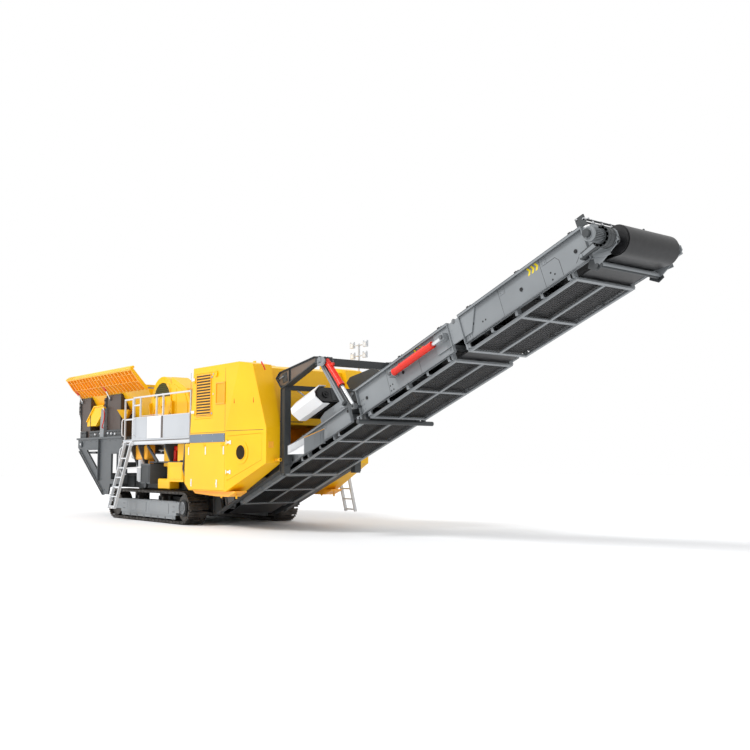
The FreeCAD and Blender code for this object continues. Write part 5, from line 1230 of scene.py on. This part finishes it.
lagging = []
for i in range(18):
    for lower, upper in ((-0.6, -0.01), (0.01, 0.6)):
        strip = block((HEAD_U - 0.026, lower, HEAD_V + DRUM_R - 0.004),
                      (HEAD_U + 0.026, upper, HEAD_V + DRUM_R + 0.0015), 0.0012)
        strip.data.transform(Matrix.Translation((HEAD_U, 0, HEAD_V)) @ Matrix.Rotation(math.radians(20 * i),
                                                                                       4, "Y")
                             @ Matrix.Translation((-HEAD_U, 0, -HEAD_V)))
        lagging.append(strip)
fit(lined_up(lagging), "drum_lagging", black_paint, "head_drum")
ends = []
for side in (-1, 1):
    ends.append(tube((HEAD_U, side * 0.6, HEAD_V), (HEAD_U, side * 0.606, HEAD_V), 0.2, 40, 0.002))
    ends.append(tube((HEAD_U, side * 0.6, HEAD_V), (HEAD_U, side * 0.64, HEAD_V), 0.075, 32))
fit(lined_up(ends), "drum_end_discs", worn_steel, "head_drum", smooth=35)
bearing, scraper, taps = [], [], []
for side in (-1, 1):
    housing = tube((HEAD_U, side * 0.765, HEAD_V), (HEAD_U, side * 0.815, HEAD_V), 0.095, 36, 0.006)
    bearing.append(pocket(housing, outer(side), 0.03, 0.01))
    bearing.append(on_plate(side, HEAD_U - 0.16, HEAD_U + 0.16, 0.764, 0.79, HEAD_V - 0.05, HEAD_V + 0.05,
                            0.01))
    bearing.append(side_bolts(side, 0.017, [(HEAD_U - 0.13, HEAD_V), (HEAD_U + 0.13, HEAD_V)], 0.79))
    bearing.append(plate_blank(side, [(12.34, 0.1), (12.5, 0.02), (12.62, 0.0), (12.62, 0.06), (12.5, 0.09),
                                      (12.36, 0.16)],
                               0.752, 0.016))
    bearing.append(side_bolts(side, 0.01, [(12.36, 0.56), (12.36, 0.46), (12.36, 0.28), (12.42, 0.2)], 0.752))
    scraper.append(plate_blank(side, [(12.22, 0.12), (12.4, 0.06), (12.42, -0.07), (12.3, -0.1),
                                      (12.16, 0.02)], 0.735, 0.014))
    scraper.append(tube((12.33, side * 0.735, -0.03), (12.33, side * 0.775, -0.03), 0.034, 24))
scraper.append(tube((12.33, -0.745, -0.03), (12.33, 0.745, -0.03), 0.02, 20))
scraper.append(block((12.335, -0.58, -0.03), (12.352, 0.58, 0.002), 0.002))
for u, v in ((12.246, 0.81), (12.366, 0.76)):
    for i in range(6):
        y = -0.55 + i * 0.22
        taps.append(tube((u, y, v), (u + 0.02, y, v - 0.055), 0.012, 12, 0.002))
        taps.append(tube((u, y, v), (u, y, v + 0.022), 0.016, 12, 0.002))
for side in (-1, 1):
    for u, v in ((12.246, 0.81), (12.366, 0.76)):
        taps.append(tube((u, side * 0.7, v), (u, side * 0.75, v), 0.024, 16, 0.003))
    taps.append(block((12.24, side * 0.6 - 0.012, 0.79), (12.37, side * 0.6 + 0.012, 0.815), 0.004))
fit(lined_up(bearing), "head_bearings", plate_grey, smooth=35)
fit(lined_up(scraper), "belt_scraper", frame_grey, smooth=35)
fit(lined_up(taps), "spray_nozzles", light_grey, smooth=35)

# Gear motor: a cast gear case bolted to the torque arm, a finned motor with its terminal box, fan cowl.
case, fins = [], []
axle = Vector((HEAD_U, 0, HEAD_V))


def turned_about_head(piece, degrees):
    piece.data.transform(Matrix.Translation(axle) @ Matrix.Rotation(math.radians(degrees), 4,
                                                                    "Y") @ Matrix.Translation(-axle))
    return piece


for y, r, w in ((-0.814, 0.158, 0.02), (-0.9, 0.155, 0.02), (-0.966, 0.158, 0.018)):
    case.append(tube((HEAD_U, y, HEAD_V), (HEAD_U, y - w, HEAD_V), r, 44))
case.append(bolts(0.011, [about_head(0.14, 30 * i, -0.984) for i in range(12)], facing_y(-1)))
case.append(tube((HEAD_U, -0.984, HEAD_V), (HEAD_U, -1.005, HEAD_V), 0.115, 40))
for i in range(8):
    rib = block((HEAD_U - 0.006, -0.965, HEAD_V + 0.14), (HEAD_U + 0.006, -0.83, HEAD_V + 0.157), 0.002)
    case.append(turned_about_head(rib, 45 * i + 10))
case.append(block((HEAD_U - 0.05, -0.95, HEAD_V + 0.135), (HEAD_U + 0.05, -0.86, HEAD_V + 0.185), 0.01))
for i in range(26):
    fin = block((HEAD_U - 0.002, -1.205, HEAD_V + 0.088), (HEAD_U + 0.002, -1.012, HEAD_V + 0.106), 0)
    fins.append(turned_about_head(fin, 360 / 26 * i))
cowl = tube((HEAD_U, -1.205, HEAD_V), (HEAD_U, -1.262, HEAD_V), 0.108, 40, 0.008)
fins.append(pocket(cowl, outer(-1), 0.014, 0.004))
for r in (0.03, 0.055, 0.08):
    fins.append(arc_rim(Vector((HEAD_U, -1.262, HEAD_V)), r, 0.006, 0.006, 360, 0, 32))
fins.append(block((HEAD_U - 0.055, -1.15, HEAD_V + 0.09), (HEAD_U + 0.055, -1.03, HEAD_V + 0.16), 0.008))
fins.append(block((HEAD_U - 0.059, -1.154, HEAD_V + 0.14), (HEAD_U + 0.059, -1.026, HEAD_V + 0.148), 0.002))
torque = [plate_blank(-1, [(HEAD_U - 0.5, 0.16), (HEAD_U - 0.5, 0.21), (HEAD_U - 0.16, 0.25),
                           (HEAD_U - 0.16, 0.18)], 0.874, 0.008)]
torque.append(tube((HEAD_U - 0.48, -0.77, 0.186), (HEAD_U - 0.48, -0.895, 0.186), 0.03, 24))
coat_nodes(frame_grey, "head_drive")
fit(lined_up(case), "gear_case", frame_grey, smooth=30)
fit(lined_up(fins), "motor_fins", plate_grey, smooth=30)
fit(lined_up(torque), "torque_arm", plate_grey, smooth=30)

# ---- gantry over the magnet --------------------------------------------------------------------
# Two cranked arms of welded channel carry the magnet on chains; a strut and a hydraulic cylinder on
# each side brace them down to the conveyor.
ARM_FACE = 0.985
coat_nodes(frame_grey, "gantry")
web_paint = machine_paint("brown_grey_enamel", "#6A5C51", "#5F5248", "#8B8072", 0.4)
flanges, webs, lugs, gusset, strut_trim = [], [], [], [], []
ARM_LINE = [(3.075, 3.215), (3.21, 3.335), (4.5, 3.56), (4.75, 3.535), (4.75, 3.425), (4.5, 3.435),
            (3.43, 3.035), (3.285, 2.995)]
for side in (-1, 1):
    ring = ARM_LINE + ARM_LINE[:1]
    for (xa, za), (xb, zb) in zip(ring, ring[1:]):
        flanges.append(flat_bar(outward(side, xa, ARM_FACE + 0.016, za),
                                outward(side, xb, ARM_FACE + 0.016, zb), 0.034, 0.016, 0.002))
    webs.append(side_blank(side, [(3.62, 3.15), (3.62, 3.375), (4.5, 3.53), (4.5, 3.455)], ARM_FACE - 0.002,
                           0.004))
    webs.append(side_blank(side, [(3.2, 3.05), (3.12, 3.2), (3.23, 3.31), (3.58, 3.37), (3.58, 3.14),
                                  (3.4, 3.07)], ARM_FACE - 0.002, 0.005))
    gusset.append(side_blank(side, [(3.32, 3.1), (3.3, 3.3), (3.46, 3.33), (3.5, 3.14)], ARM_FACE + 0.002,
                             0.012, 0.002))
    gusset.append(bolts(0.012, [outward(side, x, ARM_FACE + 0.014, z) for x,
                                z in ((3.34, 3.15), (3.34, 3.27), (3.45, 3.29),
                                      (3.47, 3.18))], facing_y(side)))
    eye = stud(side, 3.17, ARM_FACE, ARM_FACE + 0.024, 3.2, 0.045, 28)
    gusset.append(pocket(eye, outer(side), 0.016, 0.02))
    lugs.append(tube(outward(side, 3.23, ARM_FACE + 0.03, 3.2), outward(side, 3.4, ARM_FACE + 0.03, 3.25),
                     0.012, 16))
    flanges.append(sided(side, 3.57, 3.585, ARM_FACE, ARM_FACE + 0.03, 3.12, 3.37))
    for x in (3.245, 3.395):
        flanges.append(sided(side, x, x + 0.018, ARM_FACE, ARM_FACE + 0.02, 1.25, 2.99))
    for z in (1.4, 1.9, 2.4, 2.85):
        flanges.append(sided(side, 3.26, 3.4, ARM_FACE, ARM_FACE + 0.012, z, z + 0.012, 0.002))
    for y in (0.812, 1.012):
        lugs.append(side_blank(side, [(4.62, 3.36), (4.62, 3.5), (4.68, 3.56), (4.83, 3.53), (4.89, 3.46),
                                      (4.87, 3.38), (4.8, 3.34)], y - 0.006, 0.012, 0.003))
    lugs.append(stud(side, 4.832, 0.8, 1.03, 3.424, 0.034, 24))
    lugs.append(stud(side, 4.66, 0.8, 1.03, 3.44, 0.03, 24))
    for y in (0.853, 0.931):
        strut_trim.append(flat_bar(outward(side, 4.66, y, 3.385), outward(side, 5.37, y, 2.593), 0.012, 0.104,
                                   0.002))
    strut_trim.append(flat_bar(outward(side, 4.66, 0.945, 3.385), outward(side, 5.37, 0.945, 2.593), 0.012,
                               0.03, 0.002))
    strut_trim.append(sided(side, 5.29, 5.43, 0.86, 0.95, 2.5, 2.53))
fit(flanges, "gantry_flanges", frame_grey)
fit(webs, "gantry_webs", web_paint)
fit(gusset, "gantry_gussets", frame_grey, smooth=35)
fit(lugs, "gantry_lugs", plate_grey, smooth=35)
fit(strut_trim, "gantry_struts", plate_grey)

ribbed, gland_parts = [], []
lift_top = Vector((4.802, 0, 3.455))
lift_run = Vector((0.945, 0, -0.975))
for side in (-1, 1):
    def on_lift(share):
        spot = lift_top + lift_run * share
        return outward(side, spot.x, 0.915, spot.z)
    for share, length, r in ((0.06, 0.03, 0.068), (0.48, 0.06, 0.07), (0.17, 0.014, 0.066),
                             (0.28, 0.014, 0.066), (0.39, 0.014, 0.066)):
        ribbed.append(tube(on_lift(share), on_lift(share + length), r, 32))
    port = on_lift(0.14)
    ribbed.append(block(port + Vector((0.035, -0.028, 0.02)), port + Vector((0.11, 0.028, 0.085)), 0.01))
    ribbed.append(flat_bar(on_lift(0.1) + Vector((0.05, 0, 0.048)), on_lift(0.5) + Vector((0.05, 0, 0.048)),
                           0.016, 0.016))
    gland_parts.append(tube(on_lift(0.54), on_lift(0.56), 0.045, 32))
    eye_foot = on_lift(0.97)
    gland_parts.append(tube(eye_foot + Vector((0, -0.045, 0)), eye_foot + Vector((0, 0.045, 0)), 0.055, 32))
    for x in (-6.925, -4.935):
        foot = outward(side, x, 1.32, 3.18)
        top = outward(side, x, 1.3 + 0.42 * 0.72, 3.34 + 0.47 * 0.72)
        mid = foot + (top - foot) * 0.45
        ribbed.append(tube(mid, mid + (top - foot) * 0.08, 0.041, 28))
        gland_parts.append(tube(foot - Vector((0.05, 0, 0)), foot + Vector((0.05, 0, 0)), 0.034, 24))
fit(ribbed, "lift_cylinder_rings", red_paint, smooth=35)
fit(gland_parts, "cylinder_eyes", worn_steel, smooth=35)

# ---- overband magnet, its chute and the light mast ----------------------------------------------
# A rubber cleaning belt with cleats runs round the magnet block; a folded white guard wraps its near
# end, and lifted steel falls down a welded chute. Short-link chain carries the weight.
MAG_U0 = 4.605
MAG_U1 = 5.481
MAG_MID_V = 0.925
coat_nodes(rubber, "magnet")
coat_nodes(white_paint, "magnet_cover")
coat_nodes(plate_grey, "magnet_chute")
cleats, cheeks, dark_ends = [], [], []
for i in range(8):
    y = -0.72 + i * 0.215
    cleats.append(block((MAG_U0 + 0.08, y - 0.012, 1.088), (MAG_U1 - 0.08, y + 0.012, 1.115), 0.005))
for i in range(6):
    y = -0.72 + i * 0.27
    cleats.append(block((MAG_U0 + 0.08, y - 0.012, 0.738), (MAG_U1 - 0.08, y + 0.012, 0.764), 0.005))
for u, way in ((MAG_U0, -1), (MAG_U1, 1)):
    def ahead(middle, normal):
        return normal.x * way > 0.99
    low, high = sorted((u, u + way * 0.012))
    plate = block((low, -0.72, 0.8), (high, 0.82, 1.05), 0.004)
    cheeks.append(pocket(plate, ahead, 0.03, 0.006))
    for y in (-0.86, 0.86):
        hub = tube((u, y, MAG_MID_V), (u + way * 0.03, y, MAG_MID_V), 0.075, 32, 0.004)
        dark_ends.append(pocket(hub, ahead, 0.02, 0.012))
        dark_ends.append(tube((u, y, MAG_MID_V), (u + way * 0.045, y, MAG_MID_V), 0.028, 24))
    for y in (-0.6, -0.3, 0.0, 0.3, 0.6):
        cheeks.append(block((low, y - 0.01, 0.82), (high + 0.006 * max(way, 0), y + 0.01, 1.03), 0.002))
fit(lined_up(cleats), "magnet_cleats", rubber)
fit(lined_up(cheeks), "magnet_cheeks", frame_grey)
fit(lined_up(dark_ends), "magnet_bearings", black_paint, smooth=35)


def cover_fold(y0, v0, y1, v1):
    """One rolled edge of the white guard, running round its open side."""
    return block((MAG_U1 + 0.006, min(y0, y1) - 0.006, min(v0, v1) - 0.006),
                 (MAG_U1 + 0.02, max(y0, y1) + 0.006, max(v0, v1) + 0.006), 0.004)


rims = [cover_fold(-0.98, 1.114, -0.83, 1.114), cover_fold(-0.98, 0.726, -0.83, 0.726)]
edge_run = [(-0.98, 1.114), (-1.124, 0.982), (-1.124, 0.868), (-0.98, 0.726)]
for (ya, va), (yb, vb) in zip(edge_run, edge_run[1:]):
    rims.append(flat_bar(Vector((MAG_U1 + 0.004, ya, va)), Vector((MAG_U1 + 0.004, yb, vb)), 0.02, 0.012,
                         0.002))
for u in (MAG_U0 + 0.28, MAG_U0 + 0.58):
    for (ya, va), (yb, vb) in zip(edge_run[:2], edge_run[1:3]):
        rims.append(flat_bar(Vector((u, ya, va + 0.002)), Vector((u, yb - 0.002, vb)), 0.006, 0.006, 0.001))
fit(lined_up(rims), "magnet_cover_rims", white_paint)


def chain_link():
    """One short link, lying along z with its hole across the plant."""
    idle()
    bpy.ops.mesh.primitive_torus_add(major_segments=14, minor_segments=8, major_radius=0.017,
                                     minor_radius=0.0065,
                                     rotation=(math.radians(90), 0, 0))
    link = bpy.context.object
    bpy.ops.object.transform_apply(location=True, rotation=True, scale=True)
    link.data.transform(Matrix.Diagonal((1, 1, 1.55, 1)))
    return link


chains, hooks = [], []
for u, top in ((MAG_U0 + 0.09, at(3.33, 0, 2.96)), (MAG_U1 - 0.09, at(4.56, 0, 3.39))):
    for y in (-0.62, 0.62):
        low = up_line @ Vector((u, y, 1.095))
        high = top + Vector((0, y, 0))
        run = high - low
        count = int(run.length / 0.043)
        lean = run.to_track_quat("Z", "Y").to_matrix().to_4x4()
        for i in range(count):
            spot = low + run * ((i + 0.5) / count)
            turn = Matrix.Rotation(math.radians(90) * (i % 2), 4, "Z")
            chains.append(Matrix.Translation(spot) @ lean @ turn)
        hooks.append(tube(low - run.normalized() * 0.012, low + run.normalized() * 0.02, 0.03, 20, 0.006))
        hooks.append(tube(high - run.normalized() * 0.03, high + run.normalized() * 0.01, 0.022, 16, 0.004))
        shackle = low + run * (0.26 if u > 5 else 0.5)
        hooks.append(tube(shackle - run.normalized() * 0.02, shackle + run.normalized() * 0.02, 0.026, 20,
                          0.008))
        hooks.append(tube(shackle - Vector((0.045, 0, 0)), shackle + Vector((0.045, 0, 0)), 0.012, 16))
chain = spread(chain_link(), chains)
fit(chain, "hoist_chains", zinc, smooth=50)
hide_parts("magnet_chains")
fit(hooks, "chain_shackles", zinc, smooth=35)

CHUTE_Z = 1.849


def across_chute(outline, x0, x1):
    """A blank drawn across the chute, in y and height over its floor, from x0 to x1."""
    return cutout([at(x0, y, CHUTE_Z + z) for y, z in outline], Vector((x1 - x0, 0, 0)))


liner = [across_chute([(-0.82, 0.0125), (-1.3, -0.2375), (-1.3, -0.2335), (-0.82, 0.0165)], 4.013, 4.587),
         across_chute([(-0.82, 0.0125), (-1.298, -0.236), (-1.298, 0.076), (-0.82, 0.256)], 4.584, 4.588),
         across_chute([(-0.82, 0.0125), (-1.298, -0.236), (-1.298, -0.074), (-0.82, 0.136)], 4.012, 4.016)]
stripe = flat_bar(at(4.594, -1.3, CHUTE_Z + 0.082), at(4.594, -0.82, CHUTE_Z + 0.262), 0.02, 0.008, 0.001)
chute_trim = [across_chute([(-1.05, -0.118), (-1.056, -0.121), (-1.056, 0.165), (-1.05, 0.168)], 4.6, 4.604),
              across_chute([(-0.86, -0.02), (-0.91, -0.046), (-0.91, 0.215), (-0.86, 0.235)], 4.6, 4.612),
              bolts(0.009, [at(4.612, -0.885, CHUTE_Z + z) for z in (0.0, 0.08, 0.16)],
                    Matrix.Rotation(math.radians(90), 4, "Y"))]
fit(liner, "chute_liners", white_paint)
fit(stripe, "chute_stripe", orange_and_painted_shade)
fit(chute_trim, "chute_trim", plate_grey)
skirt = []
for side in (-1, 1):
    skirt.append(plate_blank(side, [(5.02, 0.47), (5.02, 0.6), (5.2, 0.66), (5.9, 0.66), (6.02, 0.52),
                                    (6.02, 0.47)],
                             0.745, 0.02))
    skirt.append(side_bolts(side, 0.01, [(5.1, 0.52), (5.1, 0.58), (5.5, 0.6), (5.5, 0.52), (5.9, 0.52)],
                            0.765))
    skirt.append(plate_blank(side, [(5.45, 0.475), (5.456, 0.475), (5.456, 0.655), (5.45, 0.655)], 0.765,
                             0.002, 0))
fit(lined_up(skirt), "belt_skirts", plate_grey)

MAST_X, MAST_Y = 2.74, 1.45
lenses, mast_trim = [], []
glass = machine_paint("frosted_lamp_glass", "#E9ECEF", "#DFE3E7", "#CFCBC2", 0.12, 0.05)
for z, reach in ((4.15, 0.19), (3.9, 0.17)):
    for s in (-1, 1):
        x = MAST_X + s * (reach + 0.06)
        lamp = block(at(x - 0.052, 1.414, z - 0.048), at(x + 0.052, 1.422, z + 0.048), 0.006)
        lenses.append(pocket(lamp, outer(-1), 0.008, 0.004))
        for i in range(5):
            mast_trim.append(block(at(x - 0.05, 1.478, z - 0.045 + i * 0.02),
                                   at(x + 0.05, 1.49, z - 0.039 + i * 0.02), 0.001))
        mast_trim.append(block(at(x - 0.072, 1.43, z - 0.02), at(x - 0.065, 1.47, z + 0.09), 0.001))
        mast_trim.append(block(at(x + 0.065, 1.43, z - 0.02), at(x + 0.072, 1.47, z + 0.09), 0.001))
for z in (3.2, 3.4, 3.9, 4.15):
    mast_trim.append(tube(at(MAST_X, MAST_Y, z - 0.02), at(MAST_X, MAST_Y, z + 0.02), 0.034, 24))
mast_trim.append(tube(at(MAST_X, MAST_Y, 4.17), at(MAST_X, MAST_Y, 4.185), 0.022, 20))
fit(lenses, "lamp_lenses", glass)
fit(mast_trim, "mast_fittings", light_grey, smooth=35)

coupling = [tube(at(3.2, -1.12, 1.5), at(3.46, -1.12, 1.5), 0.026, 20),
            tube(at(3.3, -1.12, 1.5), at(3.34, -1.12, 1.5), 0.04, 20),
            tube(at(3.42, -1.12, 1.5), at(3.46, -1.12, 1.5), 0.036, 20)]
fit(coupling, "water_coupling", cast_and_shade_yellow, smooth=35)
